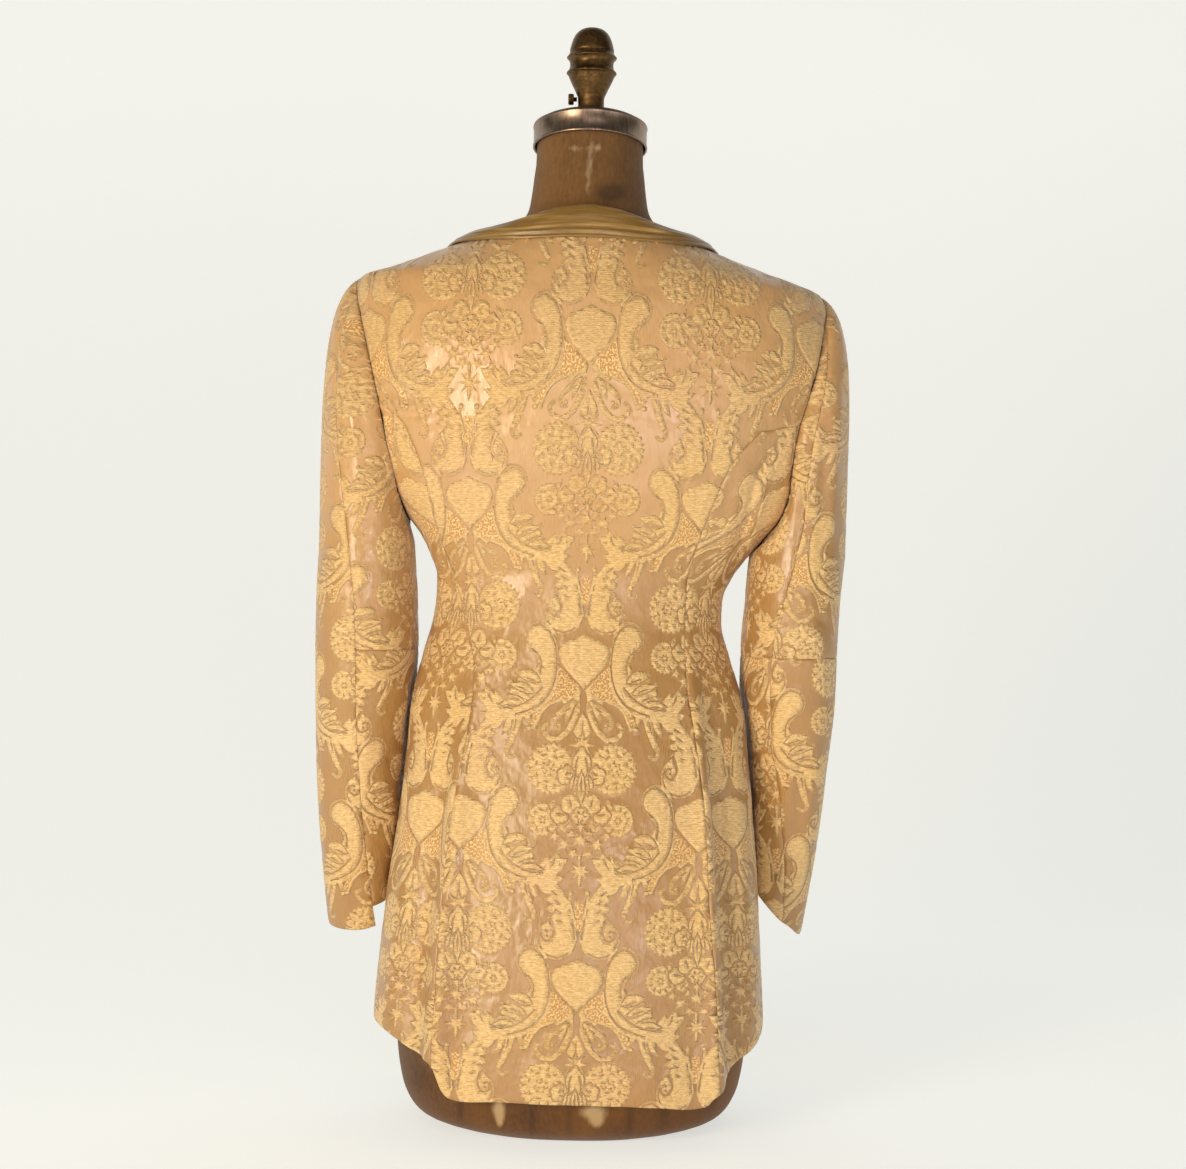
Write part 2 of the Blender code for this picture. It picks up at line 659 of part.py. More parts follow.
def sleeve_grid(side):
    """Rows from the armhole over the cap and down the tube, columns around."""
    phi = np.linspace(0, 2 * np.pi, AROUND + 1)
    theta, z = armhole(side, np.degrees(phi))
    start = body(theta, z)
    normal = body_normal(theta, z)
    low = np.clip((1 - np.cos(phi)) / 2, 0, 1)[:, None]
    run = unit(np.gradient(start, axis=0))
    run[0] = run[-1] = unit(start[1] - start[-2])
    into = unit(np.cross(run, normal))
    into = into * np.sign(np.sum(into * (start.mean(0) - start), axis=1, keepdims=True))
    start = start + into * EDGE_STEP * (1 - low) + normal * (0.0003 + (CLOTH + SEAM_GAP) * low)
    end = tube_ring(side, phi, np.full(AROUND + 1, BICEP))
    span = np.linalg.norm(end - start, axis=1, keepdims=True)
    down = np.array([0, 0, -1.0])
    level = unit(normal * np.array([1.0, 1.0, 0.0]))
    first = unit(level * (0.92 - 0.75 * low) + down * (0.40 + 0.60 * low))
    p1 = start + first * span * (CAP_OUT + (CAP_LOW - CAP_OUT) * low)
    p2 = end - down * span * CAP_DOWN
    rows = []
    for t in np.linspace(0, 1, CAP_STEPS + 1)[:-1]:
        curve = start * (1 - t) ** 3 + p1 * 3 * t * (1 - t) ** 2 + p2 * 3 * t * t * (1 - t) + end * t**3
        rows.append(curve)
    for height in np.linspace(BICEP, TUBE_END, TUBE_STEPS + 1):
        ring = tube_ring(side, phi, np.full(AROUND + 1, height))
        rows.append(clear_of_body(ring, SLEEVE_CLEAR))
    return np.array(rows)


class Sleeve:
    """One sleeve's surface with its flat cloth coordinates."""

    def __init__(self, side, grain):
        self.side = side
        self.grain = grain
        self.points = sleeve_grid(side)
        steps = np.linalg.norm(np.diff(self.points[:CAP_STEPS + 1], axis=0), axis=2)
        self.cap = np.concatenate([np.cumsum(steps[::-1], axis=0)[::-1], np.zeros((1, AROUND + 1))])
        tube = self.points[CAP_STEPS:]
        arcs = np.linalg.norm(np.diff(tube, axis=1), axis=2)
        self.arc = np.concatenate([np.zeros((len(tube), 1)), np.cumsum(arcs, axis=1)], axis=1)
        self.round = self.arc[:, -1]

    def arc_at(self, row, phi):
        """Distance around the tube's ring at a row, for angles that may pass a full turn."""
        turns = np.floor(phi / 360)
        column = (phi - 360 * turns) / 360 * AROUND
        row = np.clip(row - CAP_STEPS, 0, TUBE_STEPS - 1e-6)
        i = row.astype(int)
        f = row - i
        j = np.clip(column.astype(int), 0, AROUND - 1)
        g = column - j
        low = self.arc[i, j] * (1 - g) + self.arc[i, j + 1] * g
        high = self.arc[i + 1, j] * (1 - g) + self.arc[i + 1, j + 1] * g
        whole = self.round[i] * (1 - f) + self.round[i + 1] * f
        return low * (1 - f) + high * f + turns * whole

    def flatten(self, row, phi):
        """Flat coordinates of grid places: X around from the grain, Y downwards from the upper arm."""
        row = np.asarray(row, float)
        phi = np.asarray(phi, float)
        x = self.arc_at(row, phi) - self.arc_at(row, np.full(len(phi), float(self.grain)))
        column = np.clip((phi % 360) / 360 * AROUND, 0, AROUND - 1e-6)
        j = column.astype(int)
        g = column - j
        up = np.clip(row, 0, CAP_STEPS)
        i = np.minimum(up.astype(int), CAP_STEPS - 1)
        f = up - i
        cap = (self.cap[i, j] * (1 - g) + self.cap[i, j + 1] * g) * (1 - f)
        cap = cap + (self.cap[i + 1, j] * (1 - g) + self.cap[i + 1, j + 1] * g) * f
        drop = np.maximum(row - CAP_STEPS, 0) * (BICEP - TUBE_END) / TUBE_STEPS
        return np.stack([x, np.where(row < CAP_STEPS, cap, -drop)], 1)

    def unflatten(self, xy):
        """Grid rows and angles of flat points."""
        y = xy[:, 1]
        row = np.where(y <= 0, CAP_STEPS - y / (BICEP - TUBE_END) * TUBE_STEPS, CAP_STEPS)
        phi = np.zeros(len(xy))
        turn = np.linspace(self.grain - 300, self.grain + 300, 601)
        for k in range(len(xy)):
            arcs = self.arc_at(np.full(601, row[k]), turn)
            arcs = arcs - np.interp(self.grain, turn, arcs)
            phi[k] = np.interp(xy[k, 0], arcs, turn)
        column = np.clip((phi % 360) / 360 * AROUND, 0, AROUND - 1e-6)
        j = column.astype(int)
        g = column - j
        for k in np.nonzero(y > 0)[0]:
            line = self.cap[:, j[k]] * (1 - g[k]) + self.cap[:, j[k] + 1] * g[k]
            row[k] = np.interp(-y[k], -line, np.arange(CAP_STEPS + 1))
        return row, phi

    def at(self, row, phi):
        column = (np.asarray(phi, float) % 360) / 360 * AROUND
        row = np.clip(np.asarray(row, float), 0, len(self.points) - 1 - 1e-6)
        i = row.astype(int)
        j = np.clip(column.astype(int), 0, AROUND - 1)
        f = (row - i)[:, None]
        g = (column - j)[:, None]
        low = self.points[i, j] * (1 - g) + self.points[i, j + 1] * g
        high = self.points[i + 1, j] * (1 - g) + self.points[i + 1, j + 1] * g
        return low * (1 - f) + high * f

    def normal(self, row, phi):
        last = len(self.points) - 1
        around = self.at(row, phi + 3.0) - self.at(row, phi - 3.0)
        along = self.at(np.minimum(row + 1.6, last), phi) - self.at(np.maximum(row - 1.6, 0), phi)
        outward = unit(np.cross(along, around))
        return outward * (1.0 if self.side > 0 else -1.0) * self.sense

    def settle_sense(self):
        """Finds which way is outwards once, at the outer edge of the upper arm."""
        self.sense = 1.0
        n = self.normal(np.array([float(CAP_STEPS + 20)]), np.array([0.5]))
        self.sense = 1.0 if n[0, 0] * self.side > 0 else -1.0


def height_to_row(z):
    return CAP_STEPS + (BICEP - z) / (BICEP - TUBE_END) * TUBE_STEPS


def sleeve_hem_row(side, phi, under):
    height = smooth(np.asarray(phi) % 360, SLEEVE_HEMS[side]) + (UNDER_SHORTER[side] if under else 0.0)
    return height_to_row(height)


def spaced(sleeve, line, spacing):
    """Cuts a line of (row, angle) points on a sleeve into equal steps."""
    row = np.array([p[0] for p in line], float)
    phi = np.array([p[1] for p in line], float)
    place = sleeve.at(row, phi)
    run = np.concatenate([[0], np.cumsum(np.linalg.norm(np.diff(place, axis=0), axis=1))])
    count = max(2, int(round(run[-1] / spacing)) + 1)
    at = np.linspace(0, run[-1], count)
    return np.stack([np.interp(at, run, row), np.interp(at, run, phi)], 1)


def sleeve_piece(name, sleeve, lines, material):
    outline = np.concatenate([spaced(sleeve, line, SPACING * 0.8)[:-1] for line in lines])
    xy = sleeve.flatten(outline[:, 0], outline[:, 1])
    xy = inset(xy, SEAM_GAP * 0.7)
    flat, triangles = fill(xy, SPACING * 0.85)
    row, phi = sleeve.unflatten(flat)
    middle = sleeve.at(row, phi)
    return wall(name, middle, sleeve.normal(row, phi), triangles, CLOTH, material)


def sleeve_lines(side, under, top, bottom):
    """The four edges of a sleeve piece between two levels, in order around it."""
    hind = HIND_SEAMS[side]
    elbow = float(height_to_row(ELBOW))
    rows = np.linspace(0, 1, 120)

    def seam(table, turn, start, end):
        row = start + (end - start) * rows
        level = np.where(row < CAP_STEPS, row / CAP_STEPS, 1 + (row - CAP_STEPS) / TUBE_STEPS)
        return np.stack([row, smooth(level, table) + turn], 1)

    def last_row(table, turn):
        row = float(height_to_row(0.18))
        for _ in range(20):
            level = 1 + (row - CAP_STEPS) / TUBE_STEPS
            row = float(sleeve_hem_row(side, smooth(level, table) + turn, under))
        return row

    back_turn = 0 if under else 360
    first = 0.0 if top else elbow
    back_end = last_row(hind, back_turn) if bottom else elbow
    front_end = last_row(FORE_SEAM, 0) if bottom else elbow
    back = seam(hind, back_turn, first, back_end)
    front = seam(FORE_SEAM, 0, first, front_end)
    start_phi = np.linspace(front[0, 1], back[0, 1], 120)
    upper = np.stack([np.full(120, first), start_phi], 1)
    end_phi = np.linspace(back[-1, 1], front[-1, 1], 120)
    end_row = sleeve_hem_row(side, end_phi, under) if bottom else np.full(120, elbow)
    lower = np.stack([end_row, end_phi], 1)
    return [upper, back, lower, front[::-1]]


def sleeve_pieces(material):
    for side, label in ((-1, "left"), (1, "right")):
        outer = Sleeve(side, 360.0)
        outer.settle_sense()
        inner = Sleeve(side, 160.0)
        inner.settle_sense()
        if side < 0:
            sleeve_piece(f"upper_sleeve_{label}", outer, sleeve_lines(side, False, True, True), material)
        else:
            sleeve_piece(f"upper_sleeve_{label}", outer, sleeve_lines(side, False, True, False), material)
            sleeve_piece(f"upper_sleeve_lower_{label}", outer, sleeve_lines(side, False, False, True), material)
        sleeve_piece(f"under_sleeve_{label}", inner, sleeve_lines(side, True, True, False), material)
        sleeve_piece(f"under_sleeve_lower_{label}", inner, sleeve_lines(side, True, False, True), material)


def neckline(count):
    """Places around the whole neckline from the left front to the right front, with the collar's sizes."""
    places = []
    sizes = []
    left = opening_line(-1)[::-1]
    right = opening_line(1)
    left = left[left[:, 1] > COLLAR_END]
    right = right[right[:, 1] > COLLAR_END]
    back = neck_line(-math.pi / 2, math.pi / 2)
    for line in (left[:-1], back, right[1:]):
        for theta, z in line:
            places.append((theta, z))
            on_front = abs(theta) > math.pi / 2 + 1e-9
            rows = COLLAR_FRONT if on_front else COLLAR_ROWS
            at = z if on_front else abs(math.degrees(theta))
            turned = abs(math.degrees(theta)) if not on_front else 90 + (NECK_SIDE - z) * 900
            upright = min(max((105 - turned) / 50, 0), 1)
            upright = upright * upright * (3 - 2 * upright)
            sizes.append([float(smooth(at, rows, 1)), float(smooth(at, rows, 2)), upright])
    places = np.array(places)
    sizes = np.array(sizes)
    spot = body(places[:, 0], places[:, 1])
    run = np.concatenate([[0], np.cumsum(np.linalg.norm(np.diff(spot, axis=0), axis=1))])
    at = np.linspace(0, run[-1], count)
    pick = np.stack([np.interp(at, run, places[:, k]) for k in (0, 1)], 1)
    held = np.stack([np.interp(at, run, sizes[:, k]) for k in (0, 1, 2)], 1)
    return pick, held


COLLAR_ALONG = 62


def collar_surface(count):
    """Rows along the neckline; each row goes up the stand, over the roll and down the fall."""
    pick, held = neckline(count)
    base = body(pick[:, 0], pick[:, 1])
    outward = body_normal(pick[:, 0], pick[:, 1])
    along = unit(np.gradient(base, axis=0))
    over = unit(np.cross(along, outward))
    if over[count // 2, 2] > 0:
        over = -over
    rows = []
    lift = CLOTH / 2 + COLLAR_CLOTH / 2 + COLLAR_GAP
    for k in range(count):
        stand, fall, upright = held[k]
        up = -over[k]
        n = outward[k]
        foot = base[k] + up * (COLLAR_CLOTH / 2 + 0.0013) + n * 0.0002
        line = [foot]
        rise = unit((np.array([0, 0, 0.8]) + up * 0.2) * upright + (up * 0.9 + n * 0.3) * (1 - upright))
        top = foot + rise * stand
        loose = 0.62 + 0.38 * min(stand / 0.02, 1.0)
        line.append(foot + rise * stand * 0.5 + n * 0.0004)
        line.append(top - rise * 0.0012 * loose + n * 0.0008)
        line.append(top + rise * 0.0008 * loose + n * 0.0028 * loose)
        line.append(top - rise * 0.0004 * loose + n * 0.0052 * loose)
        edge_spot = base[k] + over[k] * fall
        rows.append((line, edge_spot, n, lift))
    return pick, held, base, outward, over, rows


def onto_body(points, lift):
    """Moves points near the body onto its cloth, then out by the lift."""
    x = points[:, 0]
    y = points[:, 1]
    z = points[:, 2].copy()
    theta = np.zeros(len(points))
    for _ in range(30):
        half = np.where(x >= 0, smooth(z, BODY_ROWS, 2), smooth(z, BODY_ROWS, 1))
        depth = np.where(y <= 0, smooth(z, BODY_ROWS, 3), smooth(z, BODY_ROWS, 4))
        power = smooth(z, BODY_ROWS, 5)
        scale = ((np.abs(x) / half) ** power + (np.abs(y) / depth) ** power) ** (1 / power)
        share = np.clip(np.abs(x) / half / scale, 0, 1) ** (power / 2)
        turn = np.arcsin(share)
        theta = np.where(x >= 0, 1, -1) * np.where(y <= 0, turn, np.pi - turn)
        spot = body(theta, z)
        normal = body_normal(theta, z)
        miss = np.sum((points - spot) * normal, axis=1)
        foot = points - normal * miss[:, None]
        x = foot[:, 0]
        y = foot[:, 1]
        z = np.clip(z + 0.6 * (foot[:, 2] - z), 0.03, 0.779)
    return spot + normal * lift, normal


def collar(material):
    """The turned-down satin collar, one folded strip around the neckline."""
    pick, held, base, outward, over, rows = collar_surface(COLLAR_ALONG)
    edges = np.array([r[1] for r in rows])
    edge, edge_normal = onto_body(edges, rows[0][3])
    grid = []
    for k, (line, _, n, lift) in enumerate(rows):
        roll = line[-1]
        foot_out = edge[k]
        bulge = unit(edge_normal[k] + n) * (0.0022 + 0.12 * np.linalg.norm(foot_out - roll) * (held[k, 0] / 0.02))
        fall = []
        for t in (0.28, 0.55, 0.8, 1.0):
            fall.append(roll * (1 - t) + foot_out * t + bulge * 4 * t * (1 - t) * 0.5)
        grid.append(line + fall)
    grid = np.array(grid)
    return sheet_from_grid("collar", grid, COLLAR_CLOTH, material)


def sheet_from_grid(name, grid, thickness, material):
    """A closed wall on a net of points."""
    count, across = grid.shape[:2]
    along = np.gradient(grid, axis=0)
    cross = np.gradient(grid, axis=1)
    normal = unit(np.cross(along, cross))
    flat = grid.reshape(-1, 3)
    triangles = []
    for i in range(count - 1):
        for j in range(across - 1):
            a = i * across + j
            triangles.append((a, a + across, a + across + 1))
            triangles.append((a, a + across + 1, a + 1))
    triangles = np.array(triangles)
    return wall(name, flat, normal.reshape(-1, 3), triangles, thickness, material)


def form_ring(theta, z):
    """A point on the linen form."""
    s = np.sin(theta)
    c = np.cos(theta)
    half, depth, power = ring_sizes(theta, np.minimum(z, 0.762))
    gap = np.where(c >= 0, smooth(z, FORM_ROWS, 2), smooth(z, FORM_ROWS, 3))
    own = smooth(z, FORM_ROWS, 1)
    limit = half - FORM_SIDE_GAP - 0.10 * np.clip(z - 0.7320, 0.0, 0.0150)
    soft = 0.004
    width = -soft * np.log(np.exp(-own / soft) + np.exp(-limit / soft))
    deep = depth - gap
    high = z > 0.762
    width = np.where(high, smooth(z, NECK_ROWS, 1), width)
    deep = np.where(high, np.where(c >= 0, smooth(z, NECK_ROWS, 2), smooth(z, NECK_ROWS, 3)), deep)
    x = width * np.sign(s) * np.abs(s) ** (2 / power)
    y = -deep * np.sign(c) * np.abs(c) ** (2 / power)
    return np.stack([x, y, z + 0 * x], -1)


def closed_rings(name, rings, material, low_centre=True):
    """A solid from stacked closed rings with flat or pointed ends."""
    rings = np.array(rings)
    count, around = rings.shape[:2]
    points = [tuple(p) for p in rings.reshape(-1, 3)]
    faces = []
    for i in range(count - 1):
        for j in range(around):
            a = i * around + j
            b = i * around + (j + 1) % around
            faces.append((a, b, b + around))
            faces.append((a, b + around, a + around))
    points.append(tuple(rings[0].mean(0)))
    points.append(tuple(rings[-1].mean(0)))
    for j in range(around):
        faces.append((len(points) - 2, (j + 1) % around, j))
        last = (count - 1) * around
        faces.append((len(points) - 1, last + j, last + (j + 1) % around))
    return add_mesh(name, points, faces, material)


def form(material):
    around = 40
    theta = np.linspace(0, 2 * np.pi, around, endpoint=False)
    rings = []
    first = form_ring(theta, np.full(around, 0.040))
    for z, within in BOTTOM_ROWS:
        ring = first.copy()
        ring[:, 0] *= 1 - 1.32 * within / 0.149
        ring[:, 1] *= 1 - 0.55 * within / 0.110
        ring[:, 2] = z
        rings.append(ring)
    heights = list(np.linspace(0.040, 0.48, 12)) + list(np.linspace(0.51, 0.69, 6))
    heights += [0.7100, 0.7245, 0.7320, 0.7400, 0.7440, 0.7475, 0.7510, 0.7550, 0.7590, 0.7620]
    heights += [0.7690, 0.7770, 0.7870, 0.7990, 0.8130, 0.8250]
    for z in heights:
        rings.append(form_ring(theta, np.full(around, z)))
    top = form_ring(theta, np.full(around, 0.8385))
    tilt = math.tan(RING_TILT)
    rings[-1][:, 2] = 0.8250 - rings[-1][:, 1] * tilt * 0.5
    top[:, 2] = 0.8490 - top[:, 1] * tilt
    low = top.copy()
    low[:, 2] -= 0.011
    rings.append(low)
    rings.append(top)
    return closed_rings("form_torso", rings, material)


def tilted(points):
    """Leans points of the neck's metal parts with the top of the neck."""
    points = np.array(points, float)
    pivot = 0.8490
    y = points[:, 1]
    z = points[:, 2] - pivot
    c = math.cos(RING_TILT)
    s = math.sin(RING_TILT)
    points[:, 1] = y * c + z * s
    points[:, 2] = pivot - y * s + z * c
    return points


def neck_ring(material):
    around = 48
    turn = np.linspace(0, 2 * np.pi, around, endpoint=False)
    outer = RING_RADIUS
    inner = outer - RING_WALL
    bead = 0.0006
    section = (
        (inner, RING_BOTTOM),
        (outer - 0.0004, RING_BOTTOM),
        (outer + bead, RING_BOTTOM + 0.0008),
        (outer + bead, RING_BOTTOM + 0.0022),
        (outer, RING_BOTTOM + 0.0030),
        (outer, RING_TOP - 0.0022),
        (outer + bead, RING_TOP - 0.0014),
        (outer + bead, RING_TOP - 0.0006),
        (outer - 0.0004, RING_TOP),
        (inner, RING_TOP),
    )
    points = []
    for radius, z in section:
        for t in turn:
            points.append((radius * math.sin(t), radius * math.cos(t), z))
    points = tilted(points)
    faces = []
    rows = len(section)
    for i in range(rows):
        for j in range(around):
            a = i * around + j
            b = i * around + (j + 1) % around
            c = ((i + 1) % rows) * around + (j + 1) % around
            d = ((i + 1) % rows) * around + j
            faces.append((b, a, d))
            faces.append((b, d, c))
    return add_mesh("neck_ring", points, faces, material)


def lathe(name, rows, around, material, lean=False, x0=0.0, y0=0.0):
    """A turned solid from (height, radius) rows; a radius of nought closes it."""
    turn = np.linspace(0, 2 * np.pi, around, endpoint=False)
    points = []
    starts = []
    for z, radius in rows:
        starts.append(len(points))
        if radius == 0:
            points.append((x0, y0, z))
            continue
        for t in turn:
            points.append((x0 + radius * math.cos(t), y0 + radius * math.sin(t), z))
    faces = []
    for i in range(len(rows) - 1):
        low = starts[i]
        high = starts[i + 1]
        for j in range(around):
            k = (j + 1) % around
            if rows[i + 1][1] == 0:
                faces.append((low + j, low + k, high))
            else:
                faces.append((low + j, low + k, high + k))
                faces.append((low + j, high + k, high + j))
    centre = len(points)
    points.append((x0, y0, rows[0][0]))
    for j in range(around):
        faces.append((centre, starts[0] + (j + 1) % around, starts[0] + j))
    if lean:
        points = [tuple(p) for p in tilted(points)]
    return add_mesh(name, points, faces, material)


def thumbscrew(material):
    """A knurled disc on a short shank that points at the finial's stem."""
    around = 28
    near, far, radius = SCREW_DISC
    shank_start, shank_end, shank = SCREW_SHANK
    rows = ((shank_start, shank, 0), (shank_end, shank, 0), (shank_end, radius * 0.9, 0), (near + 0.0006, radius, 1), (far - 0.0006, radius, 1), (far, radius * 0.88, 0))
    points = []
    for x, r, knurled in rows:
        for j in range(around):
            t = 2 * math.pi * j / around
            size = r * (0.95 if knurled and j % 2 else 1.0)
            points.append((-x, size * math.cos(t), SCREW_HEIGHT + size * math.sin(t)))
    faces = []
    for i in range(len(rows) - 1):
        for j in range(around):
            a = i * around + j
            b = i * around + (j + 1) % around
            faces.append((b, a, a + around))
            faces.append((b, a + around, b + around))
    first = len(points)
    points.append((-rows[0][0], 0, SCREW_HEIGHT))
    points.append((-rows[-1][0], 0, SCREW_HEIGHT))
    last = (len(rows) - 1) * around
    for j in range(around):
        k = (j + 1) % around
        faces.append((first, j, k))
        faces.append((first + 1, last + k, last + j))
    return add_mesh("thumbscrew", points, faces, material)


def material(name, colour, metallic, roughness):
    made = bpy.data.materials.new(name)
    made.use_nodes = True
    shader = made.node_tree.nodes["Principled BSDF"]
    shader.inputs["Base Color"].default_value = (*colour, 1.0)
    shader.inputs["Metallic"].default_value = metallic
    shader.inputs["Roughness"].default_value = roughness
    return made


def main():
    for thing in list(bpy.data.objects):
        bpy.data.objects.remove(thing, do_unlink=True)
    brocade = material("brocade", (0.60, 0.40, 0.19), 0.0, 0.55)
    satin = material("satin", (0.47, 0.28, 0.12), 0.0, 0.40)
    linen = material("linen", (0.24, 0.13, 0.05), 0.0, 0.85)
    nickel = material("nickel", (0.55, 0.53, 0.50), 1.0, 0.32)
    bronze = material("bronze", (0.22, 0.15, 0.07), 0.8, 0.45)
    body_pieces(brocade)
    sleeve_pieces(brocade)
    collar(satin)
    form(linen)
    neck_ring(nickel)
    lathe("neck_cap", CAP_ROWS, 40, bronze, lean=True)
    lathe("finial", FINIAL_ROWS, 30, bronze)
    thumbscrew(bronze)


main()
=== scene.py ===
"""Looks of the fitted damask coat on its linen dress form.

Metres, +Z up, the coat's back faces -Y. Each cut piece of the coat is a thin shell on its solid's surface.
The damask is woven into every piece's flat cloth: motifs are drawn by formula in millimetres, laid out in a
half-drop repeat, cut to the piece, and carried with the cloth onto the coat.
"""

import math

import bpy
import numpy as np
from mathutils import Matrix, Vector
from mathutils.geometry import delaunay_2d_cdt
from mathutils.kdtree import KDTree


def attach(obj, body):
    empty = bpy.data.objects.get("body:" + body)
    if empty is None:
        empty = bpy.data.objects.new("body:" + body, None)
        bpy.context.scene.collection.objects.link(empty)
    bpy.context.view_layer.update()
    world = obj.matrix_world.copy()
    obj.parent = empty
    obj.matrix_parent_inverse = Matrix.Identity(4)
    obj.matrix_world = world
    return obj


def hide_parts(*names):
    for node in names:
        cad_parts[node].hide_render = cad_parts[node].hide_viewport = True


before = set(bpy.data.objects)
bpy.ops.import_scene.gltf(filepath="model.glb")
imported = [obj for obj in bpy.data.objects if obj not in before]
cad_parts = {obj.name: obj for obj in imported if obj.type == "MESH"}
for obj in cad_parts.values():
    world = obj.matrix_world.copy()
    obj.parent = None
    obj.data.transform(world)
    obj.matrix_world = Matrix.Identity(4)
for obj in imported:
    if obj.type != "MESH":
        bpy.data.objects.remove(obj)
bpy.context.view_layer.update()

SIDES = ((-1, "left"), (1, "right"))

# Thickness of the cloths, and how far the collar stands off the body
CLOTH = 0.0012
COLLAR_CLOTH = 0.0014
COLLAR_GAP = 0.0011

# Seams: gap between pieces, how deep the cloth sinks at them and from how far
SEAM_GAP = 0.0001
SEAM_SINK = 0.0004
SEAM_REACH = 0.0016

# How far from a seam it is still felt, and the step along its line
SEAM_FELT = 0.006
RIM_STEP = 0.0006

# How far the motifs stand out, and the spacing of the cloth's points
RELIEF = 0.00032
EDGE_SPACING = 0.0024
NET_SPACING = 0.0027
LINING_SPACING = 0.007

# Places round a point of the inside whose folds it follows too, so that it stays behind the outside
LINING_STEPS = ((0.004, 0), (-0.004, 0), (0, 0.004), (0, -0.004))

# Lowest and highest place of the body's cloth, and a height that every hem stays below
BODY_FOOT = 0.02
BODY_TOP = 0.779
ABOVE_HEMS = 0.15

# Steps in angle and height over which the body's outward direction is taken
ANGLE_STEP = 0.012
HEIGHT_STEP = 0.002

# Height on the body and how far up the cloth it lies, from the flower pair between the shoulder blades
CLOTH_ROWS = (
    (0.0150, -0.5490),
    (0.0531, -0.5100),
    (0.1778, -0.3825),
    (0.3097, -0.2550),
    (0.4435, -0.1275),
    (0.5738, 0.0),
    (0.7172, 0.1275),
    (0.7800, 0.1860),
)

# Body of the coat: height, left half width, right half width, back depth, front depth, roundness
LEFT, RIGHT, BACK, FRONT, ROUNDNESS = range(1, 6)
BODY_ROWS = (
    (0.020, 0.172, 0.166, 0.121, 0.112, 2.50),
    (0.050, 0.172, 0.166, 0.121, 0.112, 2.50),
    (0.100, 0.170, 0.164, 0.119, 0.111, 2.45),
    (0.150, 0.166, 0.161, 0.116, 0.110, 2.40),
    (0.200, 0.161, 0.158, 0.111, 0.108, 2.35),
    (0.260, 0.153, 0.153, 0.104, 0.105, 2.30),
    (0.310, 0.148, 0.148, 0.096, 0.103, 2.25),
    (0.360, 0.144, 0.142, 0.086, 0.101, 2.20),
    (0.400, 0.135, 0.130, 0.078, 0.099, 2.15),
    (0.430, 0.127, 0.122, 0.074, 0.098, 2.10),
    (0.450, 0.1245, 0.1225, 0.073, 0.098, 2.10),
    (0.468, 0.1240, 0.129, 0.074, 0.099, 2.10),
    (0.485, 0.130, 0.140, 0.078, 0.102, 2.15),
    (0.503, 0.139, 0.158, 0.083, 0.107, 2.22),
    (0.522, 0.154, 0.180, 0.088, 0.112, 2.30),
    (0.545, 0.171, 0.194, 0.094, 0.118, 2.35),
    (0.590, 0.190, 0.204, 0.103, 0.121, 2.40),
    (0.650, 0.201, 0.214, 0.107, 0.110, 2.35),
    (0.690, 0.203, 0.212, 0.103, 0.092, 2.20),
    (0.7137, 0.201, 0.203, 0.096, 0.076, 2.10),
    (0.7245, 0.194, 0.179, 0.092, 0.067, 2.05),
    (0.7304, 0.175, 0.162, 0.090, 0.062, 2.00),
    (0.7410, 0.146, 0.133, 0.0855, 0.053, 2.00),
    (0.7470, 0.130, 0.117, 0.082, 0.048, 2.00),
    (0.7510, 0.118, 0.107, 0.080, 0.045, 2.00),
    (0.7550, 0.107, 0.098, 0.077, 0.041, 2.00),
    (0.7600, 0.096, 0.090, 0.074, 0.037, 2.00),
    (0.7640, 0.089, 0.085, 0.071, 0.033, 2.00),
    (0.7700, 0.081, 0.079, 0.066, 0.028, 2.00),
    (0.7800, 0.070, 0.069, 0.057, 0.022, 2.00),
)

# Skirt folds: side, angle from centre back and spread in degrees, how far out, height of the start
# and reach below it
SKIRT_FOLDS = (
    (1, 40.0, 5.0, 0.0065, 0.42, 0.16),
    (1, 54.0, 8.0, -0.0060, 0.42, 0.18),
    (-1, 37.0, 5.0, 0.0060, 0.42, 0.16),
    (-1, 50.0, 8.0, -0.0065, 0.42, 0.18),
    (1, 14.0, 10.0, -0.0020, 0.30, 0.20),
    (-1, 16.0, 9.0, -0.0022, 0.30, 0.20),
    (1, 118.0, 13.0, 0.0040, 0.36, 0.20),
    (-1, 121.0, 12.0, 0.0042, 0.36, 0.20),
    (1, 139.0, 12.0, -0.0035, 0.36, 0.20),
    (-1, 142.0, 12.0, -0.0035, 0.36, 0.20),
)

# Hem of the body by side: angle from centre back, height
HEM_ROWS = {
    -1: (
        (0, 0.0375), (14, 0.0375), (26, 0.0360), (29.5, 0.0375), (31.8, 0.0430), (33.4, 0.0540),
        (34.6, 0.0620), (37, 0.0668), (44, 0.0685), (51, 0.0720), (57, 0.0785), (65, 0.0845), (78, 0.0870),
        (93, 0.0880), (125, 0.1000), (180, 0.1010),
    ),
    1: (
        (0, 0.0375), (21, 0.0350), (32, 0.0325), (36.5, 0.0345), (39, 0.0420), (46, 0.0520), (59, 0.0670),
        (74, 0.0800), (90, 0.0900), (125, 0.1010), (180, 0.1010),
    ),
}

# Where the princess seams leave their tables for the armhole
SEAM_TOP = 0.592

# Back princess seam: height, left distance from the middle, right distance
BACK_SEAM_ROWS = (
    (0.020, 0.110, 0.118),
    (0.070, 0.110, 0.116),
    (0.121, 0.108, 0.113),
    (0.180, 0.105, 0.108),
    (0.240, 0.101, 0.104),
    (0.282, 0.096, 0.101),
    (0.345, 0.0885, 0.0944),
    (0.380, 0.0865, 0.090),
    (0.420, 0.093, 0.089),
    (0.460, 0.106, 0.0895),
    (0.500, 0.1205, 0.0985),
    (0.520, 0.126, 0.1055),
    (0.545, 0.131, 0.115),
    (0.566, 0.138, 0.125),
    (0.592, 0.150, 0.148),
)

